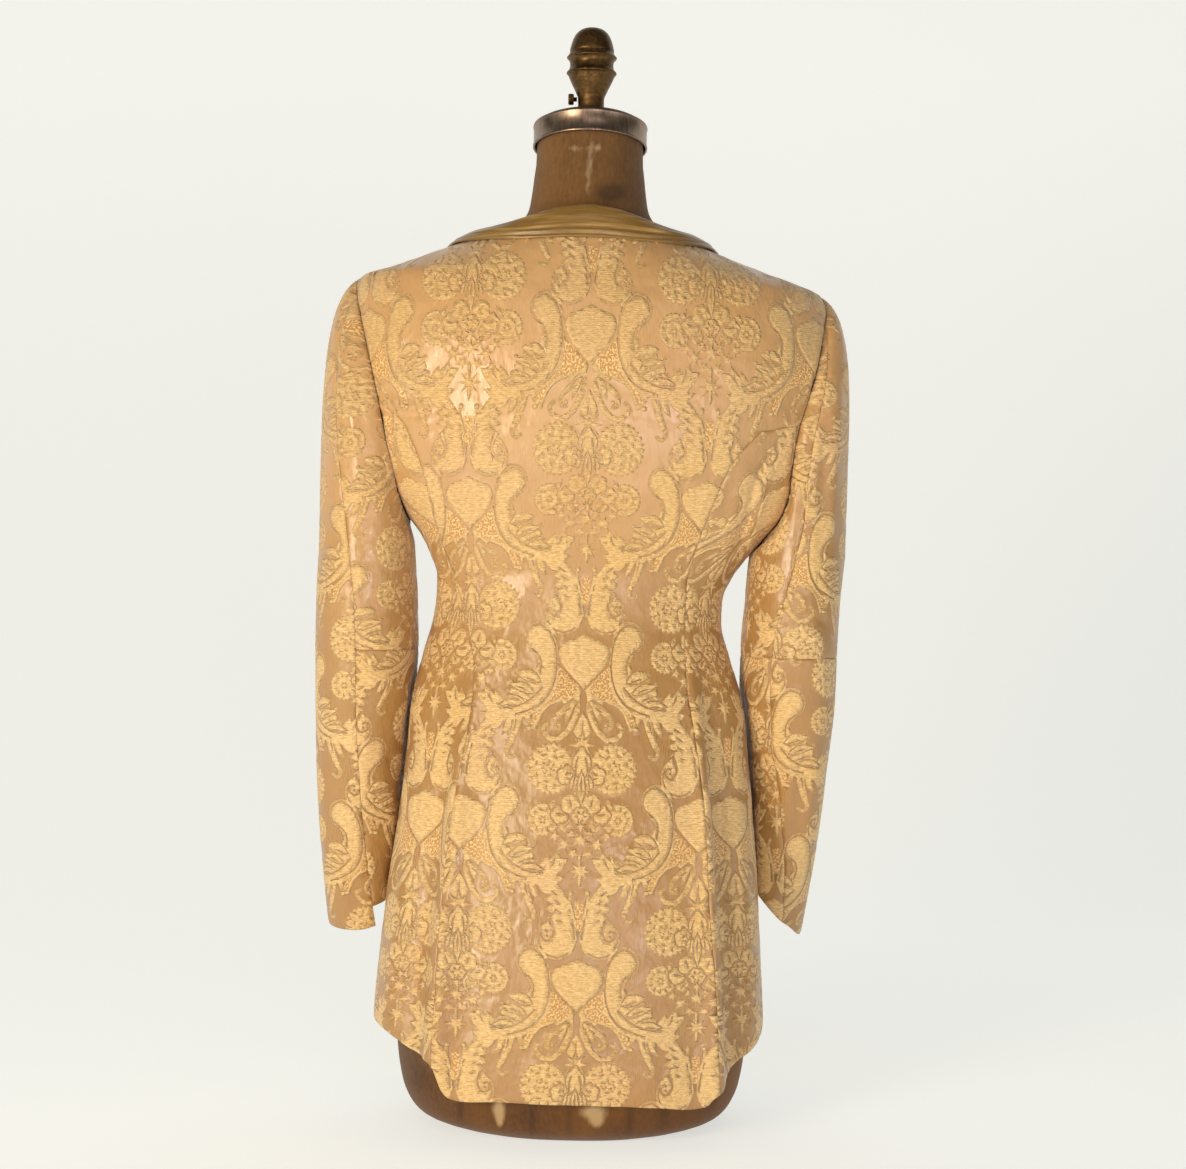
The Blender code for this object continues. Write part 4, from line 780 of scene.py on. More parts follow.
class SleeveCloth:
    """One sleeve's surface and its flat cloth: X around from the grain angle, Y up from the upper arm."""

    REACH = 300
    ROW_STEP = 4.0
    TURN_STEP = 3.0

    def __init__(self, side, grain):
        self.points = sleeve_grid(side)
        steps = np.linalg.norm(np.diff(self.points[:CAP_STEPS + 1], axis=0), axis=2)
        self.cap = np.concatenate([np.cumsum(steps[::-1], axis=0)[::-1], np.zeros((1, AROUND + 1))])
        arcs = np.linalg.norm(np.diff(self.points[CAP_STEPS:], axis=1), axis=2)
        arc = np.concatenate([np.zeros((TUBE_STEPS + 1, 1)), np.cumsum(arcs, axis=1)], axis=1)
        self.turn = np.linspace(grain - self.REACH, grain + self.REACH, 2 * self.REACH + 1)
        turns = np.floor(self.turn / 360)
        column = (self.turn - 360 * turns) / 360 * AROUND
        around = np.array([np.interp(column, np.arange(AROUND + 1), line) for line in arc])
        around = around + turns * arc[:, -1:]
        self.around = around - around[:, self.REACH, None]
        self.outward = 1.0
        outer_edge = self.at(np.array([[CAP_STEPS + 20.0, 0.5]]))[1]
        self.outward = 1.0 if outer_edge[0, 0] * side > 0 else -1.0

    def to_flat(self, place):
        """Flat points of (row, angle) places."""
        row = place[:, 0]
        x = between(self.around, np.clip(row - CAP_STEPS, 0, TUBE_STEPS), place[:, 1] - self.turn[0])
        up = between(self.cap, np.clip(row, 0, CAP_STEPS), (place[:, 1] % 360) / 360 * AROUND)
        drop = np.maximum(row - CAP_STEPS, 0) * (BICEP - TUBE_END) / TUBE_STEPS
        return np.stack([x, np.where(row < CAP_STEPS, up, -drop)], 1)

    def to_place(self, xy):
        """Rows and angles of flat points."""
        y = xy[:, 1]
        drop = np.clip(-y, 0, None) / (BICEP - TUBE_END) * TUBE_STEPS
        phi = read_rows(np.clip(drop, 0, TUBE_STEPS), xy[:, 0], self.around, self.turn)
        row = CAP_STEPS + drop
        high = np.nonzero(y > 0)[0]
        column = (phi[high] % 360) / 360 * AROUND
        row[high] = read_rows(column, -y[high], -self.cap.T, np.arange(CAP_STEPS + 1))
        return np.stack([row, phi], 1)

    def spot(self, row, phi):
        last = len(self.points) - 1
        return between(self.points, np.clip(row, 0, last), (phi % 360) / 360 * AROUND)

    def at(self, place):
        """Points of the middle of the cloth and its outward directions."""
        row, phi = place.T
        around = self.spot(row, phi + self.TURN_STEP) - self.spot(row, phi - self.TURN_STEP)
        along = self.spot(row + self.ROW_STEP, phi) - self.spot(row - self.ROW_STEP, phi)
        return self.spot(row, phi), unit(np.cross(along, around)) * self.outward


# Damask repeat in millimetres: columns of motifs, each column half a row lower than the last
COLUMN = 100.0
ROW = 255.0
POINT_STEP = 2.0

# What a place in the cloth is, and how far each kind stands out as a share of the relief
GROUND, MOTIF, STIPPLE, WRONG_SIDE = range(4)
RAISED = np.array([0.0, 1.0, 0.6])


def through(a, b, c, d, t):
    """A smooth curve from b to c, on its way from a to d."""
    return (2 * b + (c - a) * t + (2 * a - 5 * b + 4 * c - d) * t**2 + (3 * b - a - 3 * c + d) * t**3) / 2


def with_ends(rows):
    """Rows of numbers with one more at each end, straight on."""
    return np.concatenate([[2 * rows[0] - rows[1]], rows, [2 * rows[-1] - rows[-2]]])


def curve(rows, step):
    """A smooth line through rows of numbers, the first two being X and Y."""
    rows = np.array(rows, float)
    ends = with_ends(rows)
    line = []
    for k in range(len(rows) - 1):
        a, b, c, d = ends[k:k + 4]
        count = max(1, int(round(np.hypot(*(c - b)[:2]) / step)))
        line += [through(a, b, c, d, t) for t in np.arange(count) / count]
    return np.array([*line, rows[-1]])


def band(rows):
    """A band along a smooth line through (x, y, half width) rows, with round ends."""
    line = curve(rows, POINT_STEP)
    along = unit(np.gradient(line[:, :2], axis=0))
    out = np.stack([along[:, 1], -along[:, 0]], 1)
    half = np.maximum(line[:, 2:3], 0.25)
    caps = []
    for end, sign in ((-1, 1), (0, -1)):
        turn = np.radians(np.linspace(45, -45, 4 if half[end, 0] > 2 else 2))[:, None]
        way = along[end] * np.cos(turn) + out[end] * np.sin(turn)
        caps.append(line[end, :2] + sign * half[end, 0] * way)
    left = line[:, :2] + out * half
    right = line[:, :2] - out * half
    return np.concatenate([left, caps[0], right[::-1], caps[1]])


def round_shape(x, y, t, r):
    """The outline at radius r over the angle t, from straight up."""
    return np.stack([x + r * np.sin(t), y - r * np.cos(t)], 1)


def blossom(x, y, radius, petals, notch, turn=0.0, points=4):
    """A round flower with notched petals."""
    t = np.arange(petals * points) * 2 * math.pi / (petals * points)
    saw = np.abs(((t - turn) * petals / (2 * math.pi)) % 1 - 0.5) * 2
    return round_shape(x, y, t, radius * (1 - notch * saw**1.5))


def star(x, y, radius, petals=8, core=0.34, turn=0.0):
    """A small flower with thin pointed petals."""
    t = np.arange(2 * petals) * math.pi / petals + turn
    return round_shape(x, y, t, np.where(np.arange(2 * petals) % 2 == 0, radius, radius * core))


def disc(x, y, radius):
    return blossom(x, y, radius, max(6, int(round(2 * math.pi * radius / POINT_STEP))), 0.0, 0.0, 1)


def leaf(x0, y0, x1, y1, width, bend=0.0, points=4):
    """A pointed leaf from its foot to its tip, bent to one side."""
    foot = np.array([x0, y0])
    run = np.array([x1, y1]) - foot
    side = np.array([-run[1], run[0]]) / max(np.hypot(*run), 1e-6)
    t = np.linspace(0, 1, points + 2)[:, None]
    spine = foot + run * t + side * bend * 4 * t * (1 - t)
    half = side * width / 2 * np.sin(math.pi * t**0.85) ** 0.9
    return np.concatenate([(spine + half)[:-1], (spine - half)[:0:-1]])


def leaves(kind, *rows):
    """Leaves of one kind, each from its foot, tip, width, bend and number of points."""
    return [(kind, leaf(*row)) for row in rows]


def bands(kind, *lines):
    return [(kind, band(line)) for line in lines]


def discs(*rows):
    return [(MOTIF, disc(*row)) for row in rows]


def outlined(shape, width=0.9):
    """A motif with a line of ground round it, to part it from what it lies on."""
    return [(GROUND, inset(shape, -width)), (MOTIF, shape)]


def rays(x, y, first, last, count, width, turn=0.0):
    """Cuts that fan out between the petals of a flower."""
    rows = []
    for k in range(count):
        t = turn + 2 * math.pi * k / count
        way = np.array([math.sin(t), -math.cos(t)])
        rows.append((*((x, y) + way * first), *((x, y) + way * last), width, width * 0.4, 2))
    return leaves(GROUND, *rows)


def scallops(x, y, radius, count, width, turn=0.0):
    """Short curved cuts round the middle of a flower."""
    reach = math.pi / count * 0.62
    rows = []
    for k in range(count):
        t = turn + 2 * math.pi * k / count
        ends = [(x + radius * math.sin(at), y - radius * math.cos(at)) for at in (t - reach, t + reach)]
        rows.append((*ends[0], *ends[1], width, -radius * reach * 0.8, 3))
    return leaves(GROUND, *rows)


def carnations():
    """A large and a small carnation with pinked edges, and a bud against the large one."""
    shapes = [(MOTIF, blossom(31, 40, 14, 22, 0.16, 0.1, 3))]
    shapes += rays(31, 40, 6.0, 11.0, 11, 0.8, 0.2) + rays(31, 40, 1.0, 3.8, 6, 0.7, 0.5)
    shapes += outlined(leaf(25, 32, 20.5, 23.5, 4.2, 0.6))
    shapes += outlined(blossom(25.5, 0.5, 21.5, 26, 0.16, 0.0, 3))
    shapes += rays(27, 0, 12.5, 17.5, 13, 0.8, 0.1) + scallops(27.5, 0, 9.5, 7, 1.0, 0.3)
    shapes += rays(27.5, 0, 3.4, 6.6, 7, 0.8, 0.75) + scallops(27.5, 0, 2.0, 3, 0.8, 0.3)
    shapes += outlined(blossom(12.3, 5.5, 8.2, 5, 0.26, 0.5, 6), 0.7)
    return shapes + leaves(GROUND, (14, 6, 7, 2.5, 1.1, 0.7, 2), (14, 7, 7.5, 8, 1.1, -0.5, 2))


def peony():
    """A spread flower on the axis, below the carnations."""
    shapes = outlined(blossom(12.5, 44, 6.4, 5, 0.22, 0.2, 5))
    shapes += outlined(blossom(17.2, 36, 7.6, 5, 0.2, 0.9, 5))
    shapes += outlined(blossom(8.2, 27.5, 8.8, 5, 0.16, 0.3, 5))
    shapes += leaves(GROUND, (7, 31, 9.5, 22.5, 1.2, 0.6, 3), (12.5, 37, 21, 35, 1.2, -0.5, 3))
    return shapes + leaves(GROUND, (9, 41, 14.5, 47, 1.1, 0.4, 3), (4, 38, 9, 37, 1.1, 0.4, 3))


def sprigs():
    """Leaves along the axis and clusters of narrow-petalled stars."""
    shapes = outlined(leaf(1.5, 3, 9.5, 17, 5.0, -1.0), 0.6) + outlined(leaf(1, 1, 5.5, 22, 4.4, -0.8), 0.6)
    shapes += outlined(star(13.5, 59, 8.2, 6, 0.3, 0.35), 0.5)
    shapes += outlined(star(21.5, 52.5, 5.5, 5, 0.34, 0.9), 0.5)
    shapes += outlined(star(7.2, 51, 5.2, 6, 0.36, 0.2), 0.4)
    shapes += outlined(star(6.0, 66, 5.4, 5, 0.34, 0.6), 0.4)
    return shapes + outlined(leaf(2, -2, 8.8, -9.5, 4.2, -1.2), 0.6)


def scroll():
    """A leafy body that rises beside the axis from a whorl, with a beaded stem in front."""
    shapes = leaves(
        MOTIF, (17, 100, 29, 102, 6.4, 1.2), (17, 107, 28, 110, 6.4, 1.2), (17, 114, 26.5, 118, 6.0, 1.2),
        (21, 95, 32, 94, 6.0, 1.2),
    )
    shapes += discs((17.6, 134.2, 16.4))
    rise = ((27, 89, 4.6), (19.5, 96, 5.0), (15, 104, 6.4), (12.2, 113, 7.8), (10.8, 123, 9.2))
    shapes += bands(MOTIF, (*rise, (11.4, 134, 10.4)))
    shapes += leaves(
        GROUND, (14, 106, 20, 102, 1.0, 0.6, 2), (13, 113, 19, 110, 1.0, 0.6, 2),
        (12, 120, 18, 118, 1.0, 0.6, 2), (16, 99, 23, 95, 1.0, 0.6, 2),
    )
    whorl = ((23.5, 117.5, 1.2), (20.4, 124, 0.8), (20.2, 130, 0.7), (23.4, 135, 0.7), (28.2, 134.4, 0.7))
    shapes += bands(GROUND, whorl + ((30.2, 130.6, 0.7), (28, 127, 0.7), (25, 127.8, 0.6)))
    shapes.append((GROUND, disc(25.8, 131.2, 1.2)))
    turns = np.radians((-42, -14, 14, 42, 70, 96, 122))
    rim = [(17.6 + 14.4 * math.sin(t), 134.2 + 14.4 * math.cos(t), 0.42) for t in turns]
    shapes += bands(GROUND, rim, ((3.2, 134, 0.4), (4.4, 122, 0.4), (7.0, 110, 0.4)))
    shapes += bands(MOTIF, ((4.6, 117, 1.3), (6.0, 109, 1.3), (7.4, 102, 1.2), (7.2, 98, 1.5)))
    return shapes + discs((6.6, 96.8, 2.2))


def kidney():
    """The large lobe that ends in an acanthus leaf, with leaflets, tendrils and a hanging hook."""
    shapes = leaves(
        MOTIF, (63, 213, 74, 194, 8.0, 1.8), (68, 214, 83, 191, 10.5, 2.2), (70, 215, 91, 197, 13.0, -2.0),
        (62, 217, 88, 212, 9.0, 1.6),
    )
    shapes += leaves(GROUND, (72, 211, 80, 196, 1.0, 1.4, 3), (76, 211, 87, 200, 1.0, -1.2, 3))
    broad = ((31, 178), (38, 174.5), (41, 180), (47, 178), (49, 184), (55, 184), (56, 190), (61, 191))
    broad += ((61, 198), (66, 199), (66, 205), (72, 207), (52, 213), (36, 205), (30, 190))
    shapes.append((MOTIF, np.array(broad)))
    upper_tendril = ((50, 193, 1.1), (56, 191.5, 1.0), (60, 189.5, 1.0))
    lower_tendril = ((61, 207, 1.1), (59.5, 201, 1.1), (60.5, 196.5, 1.0))
    shapes += bands(MOTIF, upper_tendril, lower_tendril) + discs((61.2, 188.4, 2.0), (60.8, 195.6, 1.9))
    hook = ((53, 212, 3.8), (56, 225, 3.2), (60.5, 236, 2.6), (63.5, 242.5, 1.9), (60.5, 247.5, 1.6))
    shapes += bands(MOTIF, hook + ((55.8, 245, 1.5),))
    shapes += leaves(MOTIF, (60, 214, 68, 231, 6.0, 1.6), (66, 214, 76, 226, 5.4, 1.4))
    shapes += leaves(GROUND, (55, 214, 58.5, 229, 1.1, 0.6, 3)) + leaves(MOTIF, (47, 212, 46, 222, 4.6, 0.8))
    shapes += outlined(leaf(50, 205.5, 70.5, 206.5, 7.0, -1.2), 0.6)
    lobe = ((34, 158, 11.0), (30, 169, 9.0), (29.6, 181, 8.6), (32.5, 193, 8.8), (41, 203.5, 8.0))
    lobe += ((52, 210, 7.0), (64, 213, 5.6), (75, 210.5, 4.4), (81, 204.5, 3.2))
    shapes += discs((37.2, 152.6, 13.2)) + bands(MOTIF, lobe)
    shapes += outlined(leaf(36, 187.5, 57, 181.5, 9.5, -1.6), 0.6)
    shapes += outlined(leaf(41, 197, 62, 190, 7.4, -1.4), 0.5)
    shapes += leaves(
        GROUND, (38, 189, 51, 184.5, 1.0, -1.0, 3), (52, 207.5, 66, 206.8, 1.0, -0.6, 3),
        (47, 203, 63, 197.5, 0.9, -0.8, 3), (45, 196, 56, 192, 0.9, -0.6, 3),
    )
    edge = ((37, 141.4, 0.45), (29.6, 147, 0.45), (24.6, 157, 0.45), (22.8, 169, 0.45), (23.0, 181, 0.45))
    edge += ((26.4, 193.5, 0.45), (34, 203.6, 0.45), (44, 209.6, 0.45), (56, 213.6, 0.4))
    head = ((37, 141.4, 0.4), (44.6, 144.2, 0.4), (48.6, 151, 0.4), (47.4, 159, 0.4), (41.4, 163.6, 0.4))
    head += ((36.6, 169, 0.4), (35.6, 176, 0.4), (36.6, 182, 0.4))
    vein = ((34, 192, 0.4), (43, 201, 0.4), (56, 207.6, 0.4), (70, 208.6, 0.4))
    return shapes + bands(GROUND, edge, head, vein)


def shield():
    """The shield on the axis and the stippled wedge above it."""
    rows = ((0, 149.4), (5, 152), (11.4, 154.6), (17.4, 156.6), (21, 162.4), (19.4, 172), (11.6, 181.6))
    half = curve((*rows, (0, 193)), 2.4)
    wedge = ((-3.6, 104), (3.6, 104), (3.2, 114), (1.2, 127), (-1.2, 127), (-3.2, 114))
    return outlined(np.concatenate([half, half[::-1][1:-1] * (-1, 1)]), 1.1) + [(STIPPLE, np.array(wedge))]


def lyre():
    """Stippled ground below the shield, arches with balls, and stems that curl round a centre leaf."""
    side = ((21.4, 175), (23, 186), (26.5, 196), (33, 205), (40, 211.5), (45, 222), (38.8, 221), (35, 213))
    side += ((28.5, 206.4), (18.6, 202.6), (13.5, 203), (8.4, 200), (3.2, 196), (3.4, 191), (12, 183))
    shapes = [(STIPPLE, np.array(side))]
    arch = ((44.5, 224.5, 1.4), (39, 222, 1.3), (35, 213, 1.4), (28.5, 206, 1.4), (18.8, 202.2, 1.3))
    shapes += bands(MOTIF, arch, ((14.6, 203.4, 1.2), (9.0, 199.6, 1.1), (4.6, 197.2, 1.1)))
    shapes += discs((15.6, 203.0, 2.1), (45.5, 224.6, 2.0), (39.5, 224.4, 1.7))
    stem = ((2.4, 192, 1.9), (5.4, 200, 2.4), (4.8, 209, 2.3), (8.0, 217.5, 2.4), (13, 226.5, 2.4))
    stem += ((21.5, 232.8, 2.3), (29.4, 230.4, 2.1), (33.0, 224.2, 1.8), (29, 220.6, 1.6))
    shapes += bands(MOTIF, stem)
    curl = ((6.4, 203.6, 1.8), (12, 207.6, 2.9), (18.6, 211.6, 2.4), (23.6, 217.6, 1.9), (22.8, 223.6, 1.7))
    shapes += outlined(band(curl + ((18.6, 224, 1.4),)), 0.5)
    shapes += discs((19.4, 220.6, 2.0)) + leaves(MOTIF, (8, 208, 14.5, 219.5, 4.2, -1.2))
    return shapes + leaves(GROUND, (9, 206.6, 18, 212, 1.0, 0.5, 3))


def axis_flowers():
    """Leaves, buds and stars that stand on the axis."""
    pendant = ((0, 210.5), (3.4, 217), (7.6, 226.5), (5, 231), (-5, 231), (-7.6, 226.5), (-3.4, 217))
    shapes = outlined(np.array(pendant), 0.6)
    shapes += outlined(star(0, 237, 12.0, 8, 0.34), 0.6) + leaves(GROUND, (0, 216, 0, 228, 1.1, 0, 2))
    shapes += outlined(band(((0, -14, 3.0), (0, -8, 7.0), (0, -1, 7.6), (0, 2, 5.0))), 0.7)
    shapes += leaves(GROUND, (-4.6, 2, -3, -9, 1.1, -0.8, 3), (4.6, 2, 3, -9, 1.1, 0.8, 3))
    shapes += outlined(leaf(0, 2, 0, 29, 6.4), 0.7) + leaves(GROUND, (0, 6, 0, 22, 1.0, 0, 2))
    shapes += outlined(blossom(0, 37, 7.6, 6, 0.2, 0.0, 5), 0.6) + rays(0, 37, 1.5, 5.5, 6, 1.0, 0.5)
    shapes += outlined(star(0, 55.5, 9.0, 8, 0.3, 0.2), 0.5) + outlined(star(0, 45.5, 5.4, 6, 0.34), 0.4)
    shapes.append((MOTIF, star(0, 80, 11.0, 8, 0.32)))
    return shapes + leaves(MOTIF, (0, 82, 0, 94, 3.6), (0, 64, 0, 76, 3.2))


def mirrored(shapes):
    """Each shape, followed by its image across the axis."""
    return [pair for kind, line in shapes for pair in ((kind, line), (kind, line[::-1] * (-1, 1)))]


class Damask:
    """All motifs of one column unit, and where they lie in the cloth."""

    def __init__(self):
        self.shapes = mirrored(lyre() + scroll() + kidney()) + shield()
        self.shapes += mirrored(carnations() + peony() + sprigs()) + axis_flowers()
        self.boxes = [(shape.min(0), shape.max(0)) for _, shape in self.shapes]
        self.low = np.min([low for low, _ in self.boxes], axis=0)
        self.high = np.max([high for _, high in self.boxes], axis=0)

    def cells(self, low, high):
        """Where a unit's flower pair stands, for every unit that reaches into a box."""
        first = math.floor((low[0] - self.high[0]) / COLUMN)
        last = math.ceil((high[0] - self.low[0]) / COLUMN)
        for column in range(first, last + 1):
            shift = ROW / 2 * (column % 2)
            top = math.floor((low[1] - self.high[1] - shift) / ROW)
            bottom = math.ceil((high[1] - self.low[1] - shift) / ROW)
            for row in range(top, bottom + 1):
                yield np.array([column * COLUMN, shift + row * ROW])

    def outlines(self, low, high):
        """Closed outlines of every motif that reaches into a box of the cloth."""
        for cell in self.cells(low, high):
            for (_, shape), (box_low, box_high) in zip(self.shapes, self.boxes):
                if np.all(box_high + cell > low) and np.all(box_low + cell < high):
                    yield shape + cell

    def kinds(self, points):
        """Ground, motif or stipple at each point; later shapes lie over earlier ones."""
        found = np.full(len(points), GROUND)
        near = []
        for cell in self.cells(points.min(0), points.max(0)):
            chosen = np.nonzero(np.all((points > cell + self.low) & (points < cell + self.high), axis=1))[0]
            if len(chosen):
                near.append((chosen, points[chosen] - cell))
        for (kind, shape), (low, high) in zip(self.shapes, self.boxes):
            for chosen, local in near:
                close = np.nonzero(np.all((local > low) & (local < high), axis=1))[0]
                if len(close):
                    found[chosen[close[inside(local[close], shape)]]] = kind
        return found


DAMASK = Damask()


def build_mesh(name, points, triangles, kinds, materials):
    """An object from arrays, smooth all over."""
    mesh = bpy.data.meshes.new(name)
    mesh.vertices.add(len(points))
    mesh.vertices.foreach_set("co", np.ascontiguousarray(points, dtype=np.float32).ravel())
    mesh.loops.add(len(triangles) * 3)
    mesh.loops.foreach_set("vertex_index", np.ascontiguousarray(triangles, dtype=np.int32).ravel())
    mesh.polygons.add(len(triangles))
    mesh.polygons.foreach_set("loop_start", np.arange(0, len(triangles) * 3, 3, dtype=np.int32))
    mesh.polygons.foreach_set("material_index", np.ascontiguousarray(kinds, dtype=np.int32))
    mesh.update(calc_edges=True)
    mesh.validate()
    mesh.polygons.foreach_set("use_smooth", np.ones(len(mesh.polygons), dtype=bool))
    for item in materials:
        mesh.materials.append(item)
    thing = bpy.data.objects.new(name, mesh)
    bpy.context.scene.collection.objects.link(thing)
    return thing


def set_vector(thing, name, values):
    """Keeps a vector for each point of a mesh, for its material to read."""
    layer = thing.data.attributes.new(name, "FLOAT_VECTOR", "POINT")
    layer.data.foreach_set("vector", np.ascontiguousarray(values, dtype=np.float32).ravel())


def wear(thing, node):
    """The piece stands for a CAD node and rides with it."""
    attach(thing, "root")
    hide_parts(node)


def staggered(low, high, spacing):
    """A net of points in rows that are half a step out of line."""
    net = []
    for k, y in enumerate(np.arange(low[1] + 0.4 * spacing, high[1], spacing * 0.87)):
        x = np.arange(low[0] + (0.25 if k % 2 else 0.75) * spacing, high[0], spacing)
        net.append(np.stack([x, np.full(len(x), y)], 1))
    return np.concatenate(net)


def marked(cells, shape):
    """A map of cells in which the given ones and their neighbours are set."""
    found = np.zeros(shape, bool)
    for dx in (-1, 0, 1):
        for dy in (-1, 0, 1):
            found[cells[:, 0] + dx, cells[:, 1] + dy] = True
    return found


def apart(net, taken, reach):
    """The points of a net that keep a distance from points already taken."""
    low = np.minimum(net.min(0), taken.min(0)) - 3 * reach
    size = reach / 1.5
    shape = np.ceil((np.maximum(net.max(0), taken.max(0)) + 3 * reach - low) / size).astype(int) + 2
    full = marked(((taken - low) / size).astype(int), shape)
    spot = ((net - low) / size).astype(int)
    return net[~full[spot[:, 0], spot[:, 1]]]


def triangulate(outline, points, edges):
    """Triangles inside an outline that keep the given edges."""
    count = len(outline)
    rim = np.stack([np.arange(count), (np.arange(count) + 1) % count], 1)
    everything = np.concatenate([outline, points]) if len(points) else outline
    links = np.concatenate([rim, edges + count]) if len(edges) else rim
    done = delaunay_2d_cdt([Vector(p) for p in everything], links.tolist(), [], 0, 1e-6, False)
    flat = np.array([tuple(p) for p in done[0]])
    triangles = np.array(done[2])
    return flat, triangles[inside(flat[triangles].mean(1), outline)]


def rim_loop(triangles):
    """The closed run of points along the edge of a triangulated sheet."""
    sides = np.concatenate([triangles[:, [0, 1]], triangles[:, [1, 2]], triangles[:, [2, 0]]])
    known = set(map(tuple, sides.tolist()))
    after = {a: b for a, b in known if (b, a) not in known}
    first = next(iter(after))
    loop = [first]
    while after[loop[-1]] != first:
        loop.append(after[loop[-1]])
    return np.array(loop)


def motif_lines(outline, origin):
    """The damask's outlines that cross a piece, in its flat metres, as points and edges."""
    low = outline.min(0) - 0.004
    high = outline.max(0) + 0.004
    cloth_low = np.array([low[0] - origin[0], origin[1] - high[1]]) * 1000
    cloth_high = np.array([high[0] - origin[0], origin[1] - low[1]]) * 1000
    points = []
    edges = []
    count = 0
    for shape in DAMASK.outlines(cloth_low, cloth_high):
        points.append(shape * (0.001, -0.001) + origin)
        steps = np.arange(len(shape))
        edges.append(np.stack([steps, np.roll(steps, -1)], 1) + count)
        count += len(shape)
    points = np.concatenate(points)
    edges = np.concatenate(edges)
    kept = inside(points, outline)[edges].any(1)
    used = np.unique(edges[kept])
    new = np.full(len(points), -1)
    new[used] = np.arange(len(used))
    return points[used], new[edges[kept]]


def search_tree(points):
    """A tree that finds the flat point nearest to a place."""
    tree = KDTree(len(points))
    for k, (x, y) in enumerate(points):
        tree.insert((x, y, 0), k)
    tree.balance()
    return tree


def distance_to(outline, flat, reach):
    """Distance of points from an outline, up to a reach."""
    line = []
    for a, b in zip(outline, np.roll(outline, -1, axis=0)):
        steps = max(1, int(np.hypot(*(b - a)) / RIM_STEP))
        line.append(a + (b - a) * (np.arange(steps) / steps)[:, None])
    line = np.concatenate(line)
    tree = search_tree(line)
    low = outline.min(0)
    cells = ((line - low) / reach).astype(int) + 2
    near = marked(cells, cells.max(0) + 4)
    spot = np.clip(((flat - low) / reach).astype(int) + 2, 0, np.array(near.shape) - 1)
    far = np.full(len(flat), reach * 2)
    for k in np.nonzero(near[spot[:, 0], spot[:, 1]])[0]:
        far[k] = tree.find((flat[k, 0], flat[k, 1], 0))[2]
    return far


def woven_sheet(outline, origin):
    """Flat points of a piece, its triangles, what each triangle is and how far each point is raised."""
    points, edges = motif_lines(outline, origin)
    net = staggered(outline.min(0), outline.max(0), NET_SPACING)
    net = apart(net[inside(net, outline)], np.concatenate([outline, points]), NET_SPACING * 0.55)
    flat, triangles = triangulate(outline, np.concatenate([points, net]), edges)
    kinds = DAMASK.kinds((flat[triangles].mean(1) - origin) * (1000, -1000))
    raised = np.zeros(len(flat))
    seen = np.zeros(len(flat))
    for corner in range(3):
        np.add.at(raised, triangles[:, corner], RAISED[kinds])
        np.add.at(seen, triangles[:, corner], 1)
    return flat, triangles, kinds, raised / np.maximum(seen, 1)


def faces_outwards(faces, points, normal):
    """Faces turned so that the first of them, whose outward directions are given, face that way."""
    a, b, c = (points[faces[:len(normal), k]] for k in range(3))
    return faces if np.sum(np.cross(b - a, c - a) * normal) > 0 else faces[:, ::-1]


def cloth_piece(node, cloth, outline, origin, creases):
    """One cut piece of brocade: woven relief outside, plain inside, closed along its edge."""
    flat, triangles, kinds, raised = woven_sheet(outline, origin)
    loop = rim_loop(triangles)
    rim = flat[loop]
    lining_net = staggered(rim.min(0), rim.max(0), LINING_SPACING)
    lining_net = apart(lining_net[inside(lining_net, rim)], rim, LINING_SPACING * 0.5)
    inner, inner_triangles = triangulate(rim, lining_net, np.zeros((0, 2), int))

    def shaped(xy, relief, sign):
        middle, normal = cloth.at(cloth.to_place(xy))
        sink = SEAM_SINK * np.exp(-((distance_to(rim, xy, SEAM_FELT) / SEAM_REACH) ** 2))
        folds = creases(middle, normal)
        if sign < 0:
            for step in LINING_STEPS:
                folds = np.minimum(folds, creases(*cloth.at(cloth.to_place(xy + step))))
        moved = folds + relief - sink + sign * CLOTH / 2
        return middle + normal * moved[:, None]

    points = np.concatenate([shaped(flat, RELIEF * raised, 1), shaped(inner, 0.0, -1)])
    tree = search_tree(inner)
    partner = np.array([tree.find((x, y, 0))[1] for x, y in rim]) + len(flat)
    after = np.roll(loop, -1)
    walls = [np.stack([after, loop, partner], 1), np.stack([after, partner, np.roll(partner, -1)], 1)]
    faces = np.concatenate([triangles, inner_triangles[:, ::-1] + len(flat), *walls])
    kinds = np.concatenate([kinds, np.full(len(faces) - len(triangles), WRONG_SIDE)])
    faces = faces_outwards(faces, points, cloth.at(cloth.to_place(flat[triangles[:, 0]]))[1])
    thing = build_mesh(f"{node}_brocade", points, faces, kinds, CLOTH_MATERIALS)
    set_vector(thing, "cloth", np.pad(np.concatenate([flat, inner]) - origin, ((0, 0), (0, 1))))
    set_vector(thing, "weave", np.pad(raised[:, None], ((0, len(inner)), (0, 2))))
    wear(thing, node)


# Where the damask's flower pair lies in each piece's flat cloth, in metres from its grain line
ORIGINS = {
    "back": (0.0045, 0.0),
    "side_back_left": (0.010, -0.1275),
    "side_back_right": (-0.004, -0.1275),
    "side_front_left": (0.010, 0.0),
    "side_front_right": (-0.010, 0.0),
    "front_left": (0.020, -0.03),
    "front_right": (-0.020, -0.03),
    "upper_sleeve_left": (0.0, 0.05),
    "upper_sleeve_right": (0.0, 0.05),
    "upper_sleeve_lower_right": (0.02, -0.10),
    "under_sleeve_left": (0.0, 0.0),
    "under_sleeve_lower_left": (0.03, -0.15),
    "under_sleeve_right": (0.0, 0.02),
    "under_sleeve_lower_right": (-0.03, -0.15),
}

# How much deeper the folds are than their rows say, how far in they may go, and the step along them
FOLD_DEPTH = 1.45
FOLD_LIMIT = 0.0031
FOLD_STEP = 0.004

